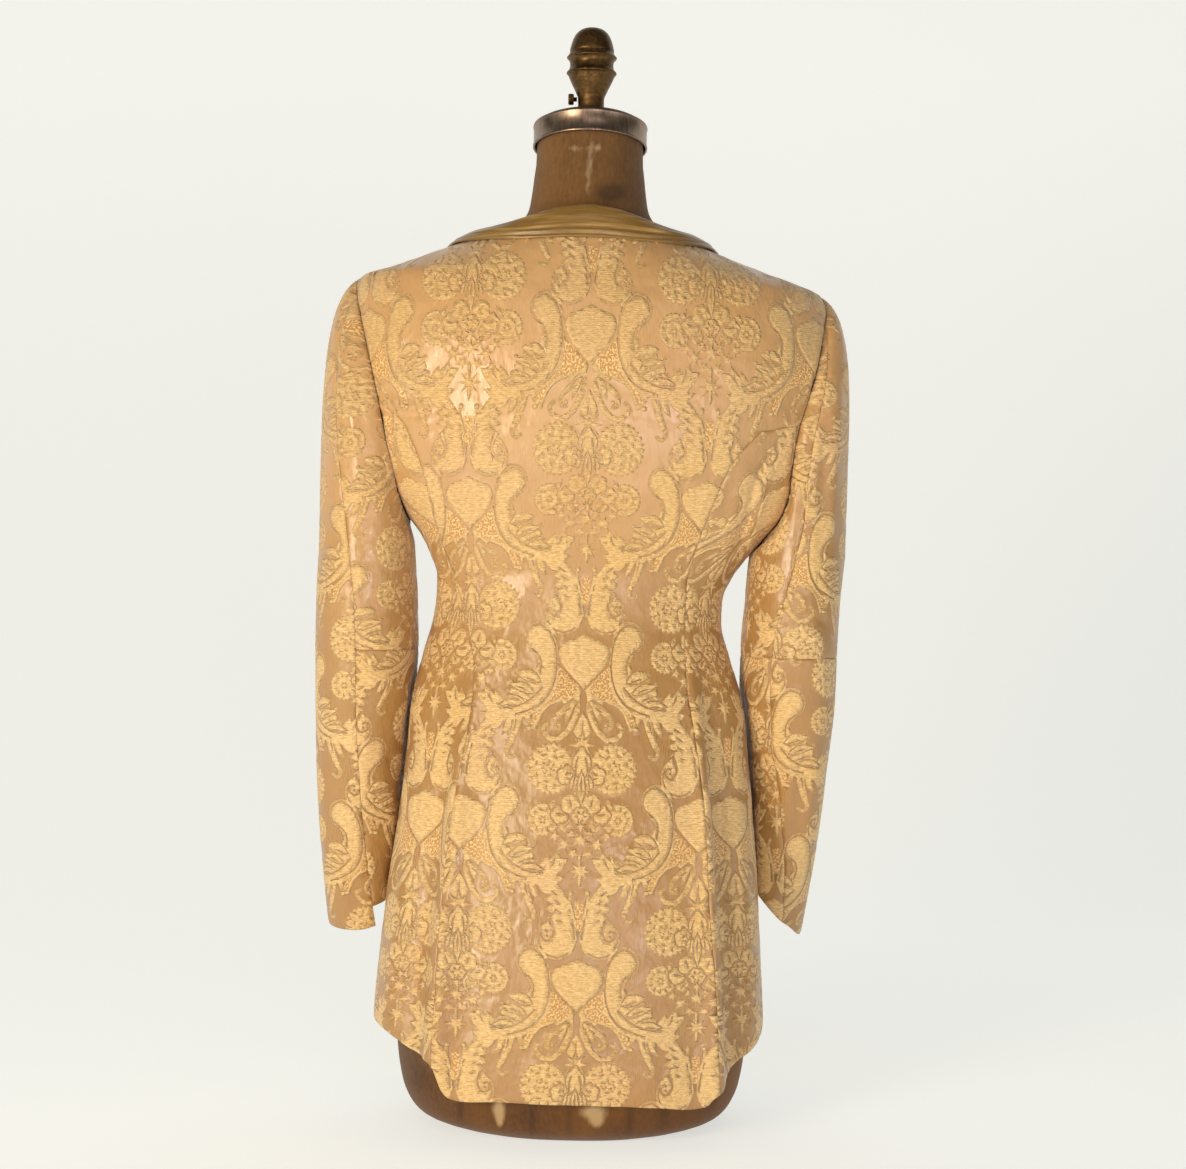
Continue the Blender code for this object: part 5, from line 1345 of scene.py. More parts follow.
# How fast a fold fades as the cloth turns away from the view, and its share where the cloth is edge on
FOLD_FADE = 2.5
FOLD_EDGE_ON = 0.3

# Angle of the grain line in degrees: for a panel from centre back, for a sleeve from its outer edge
PANEL_GRAINS = {"side_back": 62, "side_front": 118, "front": 150}
UPPER_GRAIN = 360
UNDER_GRAIN = 160

# Folds and puckers seen from behind, each a line of rows in millimetres: across, up, how far out, half width
BACK_FOLDS = (
    ((-167, 602, -0.8, 4.0), (-160, 595, -3.2, 6.5), (-153, 585, -1.6, 5.5), (-147, 575, -0.4, 5.0)),
    (
        (-171, 611, 0.4, 3.0), (-159, 611, 1.7, 3.2), (-147, 607, 1.9, 3.0), (-134, 608, 1.3, 3.6),
        (-117, 617, 0.8, 4.0), (-99, 634, 0.2, 5.0),
    ),
    ((-154, 603, -1.0, 2.4), (-143, 600, -1.3, 2.8), (-125, 605, -1.1, 3.0), (-105, 621, -0.3, 4.0)),
    ((-137, 593, 0.2, 3.0), (-115, 597, 0.9, 3.2), (-90, 600, 0.8, 3.4), (-61, 611, 0.2, 4.0)),
    ((-133, 584, -0.2, 3.0), (-110, 588, -0.9, 3.0), (-82, 591, -0.8, 3.4), (-54, 601, -0.2, 4.0)),
    ((-128, 575, 0.2, 3.0), (-103, 579, 0.8, 3.4), (-70, 583, 0.6, 4.0), (-45, 590, 0.1, 4.0)),
    ((-181, 657, 0.1, 2.5), (-171, 659, 0.7, 2.6), (-159, 666, 0.2, 3.0)),
    ((-176, 638, 0.1, 2.2), (-167, 642, -0.7, 2.4), (-156, 650, -0.1, 3.0)),
    ((-173, 625, 0.1, 2.4), (-163, 627, 0.9, 2.6), (-149, 634, 0.2, 3.4)),
    (
        (200, 694, 0.3, 2.4), (196, 675, 1.1, 2.4), (192, 649, 1.1, 2.6), (183, 620, 0.9, 2.6),
        (173, 586, 0.8, 2.6), (169, 561, 0.4, 2.8),
    ),
    ((180, 644, -0.3, 3.0), (168, 630, -1.2, 3.4), (155, 616, -1.0, 4.0), (140, 603, -0.3, 5.0)),
    ((175, 652, 0.2, 3.0), (164, 638, 1.0, 3.6), (150, 623, 0.8, 4.0), (134, 609, 0.2, 5.0)),
    (
        (170, 591, -0.2, 3.0), (159, 577, -1.0, 3.4), (147, 556, -1.6, 3.6), (140, 526, -1.8, 3.6),
        (134, 497, -1.4, 3.6), (124, 468, -0.6, 4.0), (117, 451, -0.2, 4.0),
    ),
    (
        (157, 562, 0.3, 3.5), (150, 538, 1.4, 3.6), (144, 511, 1.5, 3.6), (139, 489, 0.9, 4.0),
        (132, 468, 0.3, 4.0),
    ),
    (
        (135, 564, 0.2, 3.6), (130, 542, 1.0, 4.0), (125, 519, 1.1, 4.0), (118, 492, 0.6, 5.0),
        (110, 468, 0.2, 5.0),
    ),
    (
        (-123, 497, -0.2, 3.0), (-114, 472, -1.2, 3.2), (-104, 441, -1.4, 3.4), (-95, 411, -0.6, 4.0),
        (-92, 389, -0.1, 4.0),
    ),
    ((-128, 487, 0.2, 3.4), (-120, 460, 1.0, 3.8), (-111, 428, 0.8, 4.0), (-104, 404, 0.2, 5.0)),
    (
        (-40, 471, 0.3, 7.0), (-51, 444, 1.3, 7.0), (-64, 414, 1.4, 7.0), (-78, 383, 0.6, 8.0),
        (-88, 358, 0.1, 8.0),
    ),
    ((-24, 457, -0.2, 8.0), (-34, 430, -0.8, 8.0), (-48, 397, -0.8, 9.0), (-61, 364, -0.2, 9.0)),
    ((80, 479, -0.1, 5.0), (74, 450, -0.8, 6.0), (71, 420, -0.8, 6.0), (75, 390, -0.2, 7.0)),
    (
        (91, 442, 0.2, 4.0), (96, 384, 1.0, 4.2), (104, 318, 1.7, 4.5), (110, 243, 2.1, 5.0),
        (116, 168, 2.4, 5.5), (121, 85, 2.4, 6.0), (123, 35, 2.2, 6.0),
    ),
    (
        (102, 426, -0.4, 6.0), (109, 367, -1.8, 7.0), (117, 300, -2.6, 8.0), (124, 233, -3.0, 9.0),
        (130, 158, -3.0, 9.0), (135, 74, -2.6, 9.0),
    ),
    (
        (127, 367, 0.3, 5.0), (135, 299, 1.0, 6.0), (141, 231, 1.4, 7.0), (147, 155, 1.4, 8.0),
        (151, 96, 1.0, 8.0),
    ),
    (
        (-90, 364, 0.2, 5.0), (-95, 298, 1.0, 6.0), (-100, 231, 1.7, 6.0), (-106, 157, 2.1, 6.5),
        (-109, 74, 2.4, 7.0), (-110, 35, 2.4, 7.0),
    ),
    (
        (-110, 312, -0.4, 6.0), (-117, 237, -1.4, 7.0), (-124, 161, -2.2, 8.0), (-127, 94, -2.4, 8.0),
        (-130, 52, -2.0, 8.0),
    ),
    ((-138, 276, 0.2, 5.0), (-145, 208, 1.1, 6.0), (-149, 140, 1.5, 7.0), (-152, 90, 1.2, 8.0)),
    ((-73, 283, -0.2, 8.0), (-78, 216, -0.8, 10.0), (-83, 142, -1.2, 11.0), (-87, 68, -1.4, 12.0)),
    ((-11, 180, 0.1, 12.0), (-13, 123, 0.8, 14.0), (-15, 49, 1.4, 15.0)),
    ((53, 206, 0.1, 12.0), (58, 132, 0.9, 14.0), (63, 46, 1.5, 15.0)),
)

# The same seen from the front
FRONT_FOLDS = (
    ((-166, 604, -0.6, 4.0), (-158, 596, -2.4, 6.0), (-150, 586, -1.2, 5.5), (-143, 577, -0.3, 5.0)),
    (
        (-170, 615, 0.3, 3.0), (-157, 615, 1.4, 3.2), (-143, 609, 1.6, 3.2), (-128, 612, 1.0, 3.8),
        (-108, 626, 0.2, 5.0),
    ),
    ((-150, 604, -1.0, 2.6), (-136, 600, -1.1, 3.0), (-116, 611, -0.3, 4.0)),
    ((170, 600, -0.5, 4.0), (161, 590, -2.0, 6.0), (150, 578, -1.2, 5.5), (141, 570, -0.3, 5.0)),
    (
        (176, 612, 0.3, 3.0), (162, 609, 1.3, 3.2), (147, 602, 1.4, 3.4), (129, 606, 0.8, 4.0),
        (110, 618, 0.2, 5.0),
    ),
    ((181, 636, -0.2, 2.6), (170, 640, -0.8, 2.8), (156, 650, -0.1, 3.4)),
    ((-176, 640, 0.2, 2.6), (-166, 645, 0.8, 2.8), (-152, 655, 0.1, 3.4)),
    ((-118, 470, -0.2, 3.4), (-110, 448, -1.1, 3.6), (-101, 420, -1.2, 4.0), (-96, 392, -0.3, 5.0)),
    ((-104, 476, 0.2, 4.0), (-97, 450, 1.0, 4.2), (-90, 424, 0.8, 4.6), (-84, 400, 0.2, 5.0)),
    ((112, 482, -0.2, 3.6), (106, 455, -1.2, 3.8), (97, 428, -1.1, 4.2), (92, 398, -0.2, 5.0)),
    ((101, 468, 0.2, 4.0), (95, 444, 0.9, 4.4), (88, 416, 0.9, 5.0), (86, 390, 0.2, 6.0)),
    (
        (-84, 380, 0.2, 5.0), (-90, 310, 1.1, 6.0), (-97, 230, 1.8, 6.5), (-101, 150, 2.0, 7.0),
        (-103, 100, 1.9, 7.5),
    ),
    ((-108, 340, -0.4, 6.0), (-116, 260, -1.4, 7.0), (-122, 180, -2.0, 8.0), (-126, 110, -2.0, 8.5)),
    (
        (82, 370, 0.3, 5.0), (88, 300, 1.2, 6.0), (94, 220, 1.7, 6.5), (98, 140, 2.0, 7.0),
        (99, 100, 1.9, 7.5),
    ),
    ((106, 350, -0.4, 6.0), (114, 270, -1.6, 7.0), (119, 190, -2.2, 8.0), (122, 110, -2.1, 8.5)),
    ((-30, 300, 0.1, 10.0), (-36, 200, 0.9, 13.0), (-40, 90, 1.4, 15.0)),
    ((38, 280, 0.1, 10.0), (43, 190, 0.8, 13.0), (46, 90, 1.3, 15.0)),
)

# Folds of each sleeve from behind
SLEEVE_FOLDS = {
    -1: (
        (
            (-205, 673, 0.2, 3.0), (-199, 639, 1.0, 3.5), (-195, 606, 1.2, 3.8), (-191, 570, 0.8, 4.0),
            (-187, 529, 0.2, 5.0),
        ),
        ((-198, 661, -0.2, 3.0), (-192, 631, -1.0, 3.4), (-187, 597, -1.0, 3.6), (-183, 563, -0.2, 5.0)),
        ((-158, 582, -0.3, 3.0), (-155, 560, -1.4, 3.6), (-152, 537, -1.2, 3.6), (-150, 517, -0.3, 4.0)),
        ((-164, 585, 0.2, 3.0), (-163, 563, 1.1, 3.6), (-160, 539, 0.9, 3.6), (-157, 520, 0.2, 4.0)),
        ((-185, 436, -0.1, 4.0), (-172, 442, -1.0, 4.0), (-156, 445, -0.9, 4.2), (-143, 444, -0.1, 5.0)),
        ((-186, 421, 0.1, 4.0), (-171, 426, 1.0, 4.0), (-156, 429, 0.8, 4.0), (-141, 427, 0.1, 5.0)),
        ((-182, 387, -0.1, 4.0), (-169, 391, -0.9, 4.0), (-154, 390, -0.8, 4.0), (-142, 383, -0.1, 5.0)),
        ((-182, 368, 0.1, 4.0), (-169, 373, 0.8, 4.5), (-153, 370, 0.7, 4.5), (-143, 362, 0.1, 5.0)),
        ((-176, 325, -0.1, 4.0), (-166, 315, -0.9, 5.0), (-157, 298, -0.9, 5.0), (-151, 274, -0.2, 6.0)),
        ((-169, 281, 0.1, 5.0), (-162, 262, 1.0, 5.0), (-160, 238, 0.9, 5.0), (-158, 216, 0.2, 6.0)),
        ((-205, 218, -0.1, 5.0), (-196, 200, -0.8, 6.0), (-192, 179, -1.0, 6.0), (-193, 161, -0.6, 6.0)),
    ),
    1: (
        (
            (206, 685, -0.4, 2.4), (202, 663, -1.4, 2.6), (197, 636, -1.6, 2.8), (193, 612, -1.4, 2.8),
            (192, 583, -1.0, 2.6), (191, 549, -0.6, 3.0),
        ),
        ((185, 613, 0.3, 2.6), (182, 582, 1.0, 2.8), (180, 552, 1.0, 2.8), (178, 527, 0.4, 3.0)),
        (
            (215, 652, 0.2, 4.0), (214, 615, 1.2, 4.5), (213, 572, 1.4, 4.5), (212, 530, 1.0, 5.0),
            (212, 487, 0.2, 6.0),
        ),
        (
            (202, 634, -0.2, 4.0), (202, 597, -1.2, 4.5), (202, 555, -1.4, 4.8), (201, 512, -0.8, 5.0),
            (201, 478, -0.2, 6.0),
        ),
        ((195, 487, -0.2, 4.0), (201, 461, -1.2, 4.5), (206, 440, -1.0, 4.5), (210, 419, -0.2, 5.0)),
        ((178, 434, -0.1, 4.0), (188, 439, -0.9, 4.0), (200, 438, -0.8, 4.0), (210, 431, -0.1, 5.0)),
        ((180, 417, 0.1, 4.0), (190, 422, 1.0, 4.0), (200, 421, 0.8, 4.0), (210, 412, 0.1, 5.0)),
        ((176, 376, -0.1, 4.0), (187, 381, -0.9, 4.5), (199, 378, -0.7, 4.5), (209, 368, -0.1, 5.0)),
        ((200, 350, 0.1, 5.0), (204, 316, 1.1, 5.0), (202, 281, 1.1, 5.5), (199, 247, 0.3, 6.0)),
        ((190, 333, -0.1, 5.0), (193, 298, -1.0, 5.0), (192, 264, -1.0, 5.5), (191, 221, -0.3, 6.0)),
        ((147, 486, 0.2, 5.0), (146, 443, 1.0, 5.0), (145, 400, 1.0, 6.0), (146, 348, 0.2, 6.0)),
    ),
}

# Folds of each sleeve from the front
SLEEVE_FRONT_FOLDS = {
    -1: (
        ((-206, 640, 0.2, 4.0), (-204, 600, 1.1, 4.4), (-203, 560, 1.1, 4.6), (-204, 520, 0.2, 5.0)),
        ((-196, 630, -0.2, 4.0), (-194, 590, -1.1, 4.4), (-193, 550, -1.0, 4.6), (-195, 510, -0.2, 5.0)),
        ((-214, 452, -0.1, 4.0), (-200, 446, -1.2, 4.0), (-184, 444, -1.1, 4.2), (-168, 448, -0.2, 5.0)),
        ((-214, 436, 0.1, 4.0), (-200, 430, 1.2, 4.0), (-184, 427, 1.1, 4.2), (-167, 430, 0.2, 5.0)),
        ((-212, 418, -0.1, 4.0), (-198, 412, -1.1, 4.2), (-182, 410, -1.0, 4.4), (-166, 415, -0.2, 5.0)),
        ((-210, 394, 0.1, 4.0), (-196, 390, 1.0, 4.4), (-180, 390, 0.8, 4.6), (-166, 396, 0.1, 5.0)),
        ((-200, 340, 0.1, 5.0), (-194, 310, 1.0, 5.0), (-191, 276, 1.0, 5.5), (-192, 244, 0.2, 6.0)),
    ),
    1: (
        ((214, 640, 0.2, 4.0), (212, 600, 1.1, 4.4), (210, 560, 1.1, 4.6), (208, 520, 0.2, 5.0)),
        ((203, 630, -0.2, 4.0), (201, 590, -1.1, 4.4), (199, 550, -1.0, 4.6), (198, 510, -0.2, 5.0)),
        ((212, 450, -0.1, 4.0), (198, 444, -1.2, 4.0), (182, 443, -1.1, 4.2), (164, 448, -0.2, 5.0)),
        ((213, 433, 0.1, 4.0), (198, 427, 1.1, 4.0), (182, 425, 1.1, 4.2), (163, 429, 0.2, 5.0)),
        ((211, 414, -0.1, 4.0), (196, 409, -1.1, 4.2), (180, 407, -1.0, 4.4), (163, 412, -0.2, 5.0)),
        ((208, 392, 0.1, 4.0), (194, 388, 0.9, 4.4), (178, 388, 0.8, 4.6), (162, 394, 0.1, 5.0)),
        ((198, 330, 0.1, 5.0), (190, 300, 1.0, 5.0), (186, 266, 1.0, 5.5), (186, 236, 0.2, 6.0)),
    ),
}

# Long folds of the collar: half width as a share of the collar's width, and rows of how far across
# in millimetres, share of the way in from the edge, how far out in millimetres
COLLAR_FOLDS = (
    (0.055, ((34, 0.34, 0.0), (52, 0.38, 0.7), (70, 0.34, 1.0), (88, 0.28, 0.9), (104, 0.20, 0.2))),
    (0.045, ((44, 0.46, 0.0), (62, 0.44, 0.8), (80, 0.40, 1.0), (98, 0.34, 0.3))),
    (0.050, ((40, 0.28, 0.0), (60, 0.29, -0.8), (82, 0.25, -0.9), (100, 0.18, -0.2))),
    (0.050, ((-104, 0.30, 0.2), (-92, 0.36, 0.9), (-78, 0.40, 0.7), (-60, 0.44, 0.0))),
    (0.045, ((-100, 0.22, -0.2), (-86, 0.27, -0.8), (-70, 0.30, -0.5), (-54, 0.34, 0.0))),
    (0.040, ((-50, 0.36, 0.0), (-24, 0.41, 0.35), (4, 0.40, 0.4), (30, 0.37, 0.0))),
    (0.040, ((-40, 0.29, 0.0), (-10, 0.31, -0.35), (22, 0.30, -0.4), (44, 0.27, 0.0))),
)

# Piping, stitch groove and ridges along the collar's edge: from the edge, how far out, half width
COLLAR_EDGE = (
    (0.0012, 0.00060, 0.0008),
    (0.0032, -0.00055, 0.0009),
    (0.0056, 0.00075, 0.0011),
    (0.0084, -0.00040, 0.0014),
)

# Pale worn patches and dark stains of the linen: across, up, half width, half height, pale (+) or dark (-)
LINEN_MARKS = (
    (0.0010, 0.834, 0.0030, 0.013, 0.24),
    (0.0000, 0.815, 0.0042, 0.014, 0.30),
    (-0.0010, 0.797, 0.0030, 0.012, 0.22),
    (-0.0130, 0.834, 0.0075, 0.0026, 0.48),
    (-0.0050, 0.835, 0.0040, 0.0020, 0.30),
    (0.0070, 0.832, 0.0034, 0.0026, 0.45),
    (0.0160, 0.793, 0.0120, 0.0080, -0.95),
    (0.0260, 0.797, 0.0120, 0.0070, -0.55),
    (-0.0200, 0.792, 0.0070, 0.001, -0.9),
    (0.0260, 0.820, 0.0120, 0.020, -0.35),
    (-0.0580, 0.0290, 0.0050, 0.0080, 1.0),
    (-0.0570, 0.0190, 0.0026, 0.0060, 1.0),
    (0.0200, 0.0290, 0.0100, 0.0060, 1.0),
    (0.0230, 0.0210, 0.0050, 0.0050, 1.0),
    (-0.0900, 0.0300, 0.0030, 0.020, -0.8),
    (-0.0300, 0.0200, 0.0040, 0.020, -0.6),
    (0.0020, 0.0220, 0.0030, 0.018, -0.8),
    (0.0500, 0.0200, 0.0040, 0.018, -0.7),
    (0.0780, 0.0240, 0.0060, 0.014, -0.5),
    (-0.1150, 0.0700, 0.0100, 0.020, 0.35),
    (-0.1250, 0.0450, 0.0080, 0.012, -0.6),
    (0.1150, 0.0450, 0.0120, 0.020, -0.8),
)


def spaced(cloth, line, spacing):
    """A line of places cut into equal steps; the last place is left to the next line."""
    run = run_along(cloth.at(line)[0])
    steps = np.linspace(0, run[-1], max(2, int(round(run[-1] / spacing))) + 1)[:-1]
    return np.stack([np.interp(steps, run, line[:, k]) for k in (0, 1)], 1)


def cut(cloth, lines):
    """The flat outline of a piece, without its half of the gap at the seams."""
    places = np.concatenate([spaced(cloth, np.array(line), EDGE_SPACING) for line in lines])
    return inset(cloth.to_flat(places), SEAM_GAP / 2)


def creased(behind, in_front):
    """How far folds move the cloth out, from lines seen from behind and from the front."""
    scale = (0.001, 0.001, FOLD_DEPTH * 0.001, 0.001)
    lines = [(-1, curve(np.array(rows) * scale, FOLD_STEP)) for rows in behind]
    lines += [(1, curve(np.array(rows) * scale, FOLD_STEP)) for rows in in_front]

    def moved(points, normals):
        total = np.zeros(len(points))
        seen = points[:, [0, 2]]
        for facing, line in lines:
            share = np.clip(facing * normals[:, 1] * FOLD_FADE + FOLD_EDGE_ON, 0, 1)
            reach = line[:, 3].max() * 3
            low = line[:, :2].min(0) - reach
            high = line[:, :2].max(0) + reach
            near = np.nonzero(np.all((seen > low) & (seen < high), axis=1) & (share > 0))[0]
            if not len(near):
                continue
            gap = np.linalg.norm(seen[near, None] - line[None, :, :2], axis=2)
            height, half = line[gap.argmin(1), 2:4].T
            total[near] += share[near] * height * np.exp(-((gap.min(1) / half) ** 2))
        return np.maximum(total, -FOLD_LIMIT)
    return moved


def body_pieces():
    """Node names, grain angles and outlines of the pieces of the coat's body."""
    left = princess(-1, False)
    right = princess(1, False)
    yield "back", 0.0, (
        hem_line(left[0, 0], right[0, 0]),
        right,
        armhole_line(1, BACK_SEAM_AT, 0.0),
        shoulder_line(1)[::-1],
        neck_line(math.pi / 2, -math.pi / 2),
        shoulder_line(-1),
        armhole_line(-1, 0.0, BACK_SEAM_AT),
        left[::-1],
    )
    for side, label in SIDES:
        back = princess(side, False)
        front = princess(side, True)
        seam = side_seam(side)
        yield f"side_back_{label}", side * math.radians(PANEL_GRAINS["side_back"]), (
            hem_line(back[0, 0], seam[0, 0]),
            seam,
            armhole_line(side, SIDE_SEAM_AT, BACK_SEAM_AT),
            back[::-1],
        )
        yield f"side_front_{label}", side * math.radians(PANEL_GRAINS["side_front"]), (
            hem_line(seam[0, 0], front[0, 0]),
            front,
            armhole_line(side, FRONT_SEAM_AT, SIDE_SEAM_AT),
            seam[::-1],
        )
        yield f"front_{label}", side * math.radians(PANEL_GRAINS["front"]), (
            hem_line(front[0, 0], side * math.pi),
            centre_front(side)[::-1],
            opening_line(side)[::-1],
            shoulder_line(side),
            armhole_line(side, 360.0, FRONT_SEAM_AT),
            front[::-1],
        )


def sleeve_pieces(side, label):
    """Node names, grain angles and outlines of one sleeve's pieces. The left upper sleeve is cut in one."""
    one_piece = side < 0
    yield f"upper_sleeve_{label}", UPPER_GRAIN, sleeve_lines(side, False, True, one_piece)
    if not one_piece:
        yield f"upper_sleeve_lower_{label}", UPPER_GRAIN, sleeve_lines(side, False, False, True)
    yield f"under_sleeve_{label}", UNDER_GRAIN, sleeve_lines(side, True, True, False)
    yield f"under_sleeve_lower_{label}", UNDER_GRAIN, sleeve_lines(side, True, False, True)


def coat():
    """Every brocade piece of the coat."""
    creases = creased(BACK_FOLDS, FRONT_FOLDS)
    for node, grain, lines in body_pieces():
        cloth = BodyCloth(grain)
        cloth_piece(node, cloth, cut(cloth, lines), ORIGINS[node], creases)
    for side, label in SIDES:
        creases = creased(SLEEVE_FOLDS[side], SLEEVE_FRONT_FOLDS[side])
        for node, grain, lines in sleeve_pieces(side, label):
            cloth = SleeveCloth(side, grain)
            cloth_piece(node, cloth, cut(cloth, lines), ORIGINS[node], creases)


def grid_faces(rows, columns, closed_rows=False, closed_columns=False):
    """Triangles of a net of points."""
    i = np.arange(rows if closed_rows else rows - 1)
    j = np.arange(columns if closed_columns else columns - 1)
    i, j = (g.ravel() for g in np.meshgrid(i, j, indexing="ij"))
    a = i * columns + j
    b = i * columns + (j + 1) % columns
    c = ((i + 1) % rows) * columns + (j + 1) % columns
    d = ((i + 1) % rows) * columns + j
    return np.concatenate([np.stack([a, b, c], 1), np.stack([a, c, d], 1)])


def stacked(name, rings, item):
    """A closed solid from rings, shut by a fan at each end."""
    rings = np.array(rings)
    rows, around = rings.shape[:2]
    points = np.concatenate([rings.reshape(-1, 3), [rings[0].mean(0)], [rings[-1].mean(0)]])
    j = np.arange(around)
    k = (j + 1) % around
    last = (rows - 1) * around
    first_fan = np.stack([np.full(around, rows * around), k, j], 1)
    last_fan = np.stack([np.full(around, rows * around + 1), last + j, last + k], 1)
    faces = np.concatenate([grid_faces(rows, around, closed_columns=True), first_fan, last_fan])
    return build_mesh(name, points, faces, np.zeros(len(faces)), [item])


def form_ring(theta, z):
    """A ring of the linen form at a height: inside the coat below the neck, by its own sizes above it."""
    back = np.cos(theta) >= 0
    if z > NECK_FROM:
        half = smooth(z, NECK_ROWS, 1)
        depth = np.where(back, smooth(z, NECK_ROWS, 2), smooth(z, NECK_ROWS, 3))
        power = smooth(NECK_FROM, BODY_ROWS, ROUNDNESS)
    else:
        half, depth, power = ring_sizes(np.sin(theta) >= 0, back, z)
        depth = depth - np.where(back, smooth(z, FORM_ROWS, 2), smooth(z, FORM_ROWS, 3))
        own = smooth(z, FORM_ROWS, 1)
        limit = half - FORM_SIDE_GAP - SHOULDER_DRAW * np.clip(z - SHOULDER_FROM, 0.0, SHOULDER_REACH)
        soft = SHOULDER_SOFTNESS
        half = -soft * np.log(np.exp(-own / soft) + np.exp(-limit / soft))
    x, y = oval(theta, half, depth, power)
    return np.stack([x, y, np.full(len(theta), z)], -1)


def linen_form():
    """The covered body and neck, with a rounded bottom and a top that leans with the ring."""
    theta = np.linspace(0, 2 * np.pi, FORM_AROUND, endpoint=False)
    rings = []
    rounded = np.linspace(0, ROUND_TO, ROUNDED_RINGS)[:-1]
    for z in np.concatenate([rounded, np.linspace(ROUND_TO, NECK_LEVEL_TO, FORM_RINGS)]):
        within = max(float(smooth(z, ROUND_ROWS)), 0.0)
        rings.append(form_ring(theta, z) * (1 - within / FOOT_HALF, 1 - FOOT_SHARE * within / FOOT_DEPTH, 1))
    top = form_ring(theta, NECK_TOP)
    top[:, 2] = RING_PIVOT - top[:, 1] * math.tan(RING_TILT)
    rings += [rings[-1] * (1 - share) + top * share for share in (0.25, 0.5, 0.75, 1.0)]
    thing = stacked("form_linen", rings, LINEN)
    points = np.array([p.co for p in thing.data.vertices])
    marks = np.zeros((len(points), 3))
    for x, z, half, high, amount in LINEN_MARKS:
        spot = np.exp(-(((points[:, 0] - x) / half) ** 2 + ((points[:, 2] - z) / high) ** 2))
        marks[:, 0 if amount > 0 else 1] += abs(amount) * spot * (points[:, 1] < 0)
    set_vector(thing, "marks", marks)
    wear(thing, "form_torso")


def tilted(points):
    """Leans points of the neck's metal parts with the top of the neck."""
    turn = Matrix.Rotation(-RING_TILT, 3, "X")
    pivot = np.array([0, 0, RING_PIVOT])
    return (np.asarray(points) - pivot) @ np.array(turn).T + pivot


def turned(name, rows, step, item, lean=False):
    """A turned solid along a smooth curve through (height, radius) rows."""
    line = curve(np.array(rows), step)
    turn = np.linspace(0, 2 * np.pi, METAL_AROUND, endpoint=False)
    rings = []
    for z, radius in np.maximum(line, (0, 0.0002)):
        ring = np.stack([radius * np.cos(turn), radius * np.sin(turn), np.full(METAL_AROUND, z)], 1)
        rings.append(tilted(ring) if lean else ring)
    return stacked(name, rings, item)


def neck_ring():
    """The nickel band round the top of the neck, with a bead along each edge."""
    turn = np.linspace(0, 2 * np.pi, METAL_AROUND, endpoint=False)
    profile = [(RING_RADIUS - RING_WALL, RING_BOTTOM)]
    profile += [(RING_RADIUS + out, RING_BOTTOM + up) for out, up in LOWER_BEAD]
    profile += [(RING_RADIUS + out, RING_TOP - down) for out, down in UPPER_BEAD]
    profile.append((RING_RADIUS - RING_WALL, RING_TOP))
    net = [np.stack([r * np.sin(turn), r * np.cos(turn), np.full(METAL_AROUND, z)], 1) for r, z in profile]
    faces = grid_faces(len(profile), METAL_AROUND, True, True)[:, ::-1]
    ring = build_mesh("ring_band", tilted(np.concatenate(net)), faces, np.zeros(len(faces)), [NICKEL])
    wear(ring, "neck_ring")


def thumbscrew():
    """The screw that clamps the finial: a shank and a disc with a knurled rim."""
    turn = np.linspace(0, 2 * np.pi, METAL_AROUND, endpoint=False)
    rings = []
    for x, radius, knurled in SCREW_ROWS:
        r = radius * (1 - 0.06 * knurled * (np.arange(METAL_AROUND) % 4 >= 2))
        ring = [np.full(METAL_AROUND, -x), -r * np.cos(turn), SCREW_HEIGHT + r * np.sin(turn)]
        rings.append(np.stack(ring, 1))
    wear(stacked("knurled_screw", rings, BRONZE), "thumbscrew")


def metal_parts():
    """The neck ring, its cap, the turned finial and the thumbscrew."""
    neck_ring()
    wear(turned("cap_plate", CAP_ROWS, 0.0010, CAP_METAL, True), "neck_cap")
    wear(turned("turned_finial", FINIAL_ROWS, 0.0006, BRONZE), "finial")
    thumbscrew()


def neckline(count):
    """Places around the neckline from the left front to the right front, and the collar's sizes there."""
    left, right = (opening_line(side) for side, _ in SIDES)
    left = left[left[:, 1] > COLLAR_END][::-1]
    right = right[right[:, 1] > COLLAR_END]
    places = np.concatenate([left[:-1], neck_line(-math.pi / 2, math.pi / 2), right[1:]])
    theta, z = places.T
    on_front = np.abs(theta) > math.pi / 2 + 1e-9
    degrees = np.abs(np.degrees(theta))
    sizes = [np.where(on_front, smooth(z, COLLAR_FRONT, k), smooth(degrees, COLLAR_ROWS, k)) for k in (1, 2)]
    turned_by = np.where(on_front, 90 + (NECK_SIDE - z) * DEGREES_PER_METRE, degrees)
    sizes.append(eased(np.clip((STAND_LEANS_BY - turned_by) / STAND_LEANS_OVER, 0, 1)))
    run = run_along(body(theta, z))
    at = np.linspace(0, run[-1], count)
    return [np.interp(at, run, column) for column in (theta, z, *sizes)]


def onto_body(points, lift):
    """Moves points near the body onto its cloth, then out by the lift."""
    x, y, z = points.T
    for _ in range(30):
        theta = on_ring(x, y, z)[1]
        spot = body(theta, z)
        normal = body_normal(theta, z)
        miss = np.sum((points - spot) * normal, axis=1)
        foot = points - normal * miss[:, None]
        x, y = foot[:, 0], foot[:, 1]
        z = np.clip(z + 0.6 * (foot[:, 2] - z), 0.03, BODY_TOP)
    return spot + normal * lift, normal


def smooth_through(line, shares):
    """Reads a line of points at shares of its length, on a smooth curve through them."""
    ends = with_ends(line)
    k = np.clip(shares.astype(int), 0, len(line) - 2)
    return through(ends[k], ends[k + 1], ends[k + 2], ends[k + 3], (shares - k)[:, None])


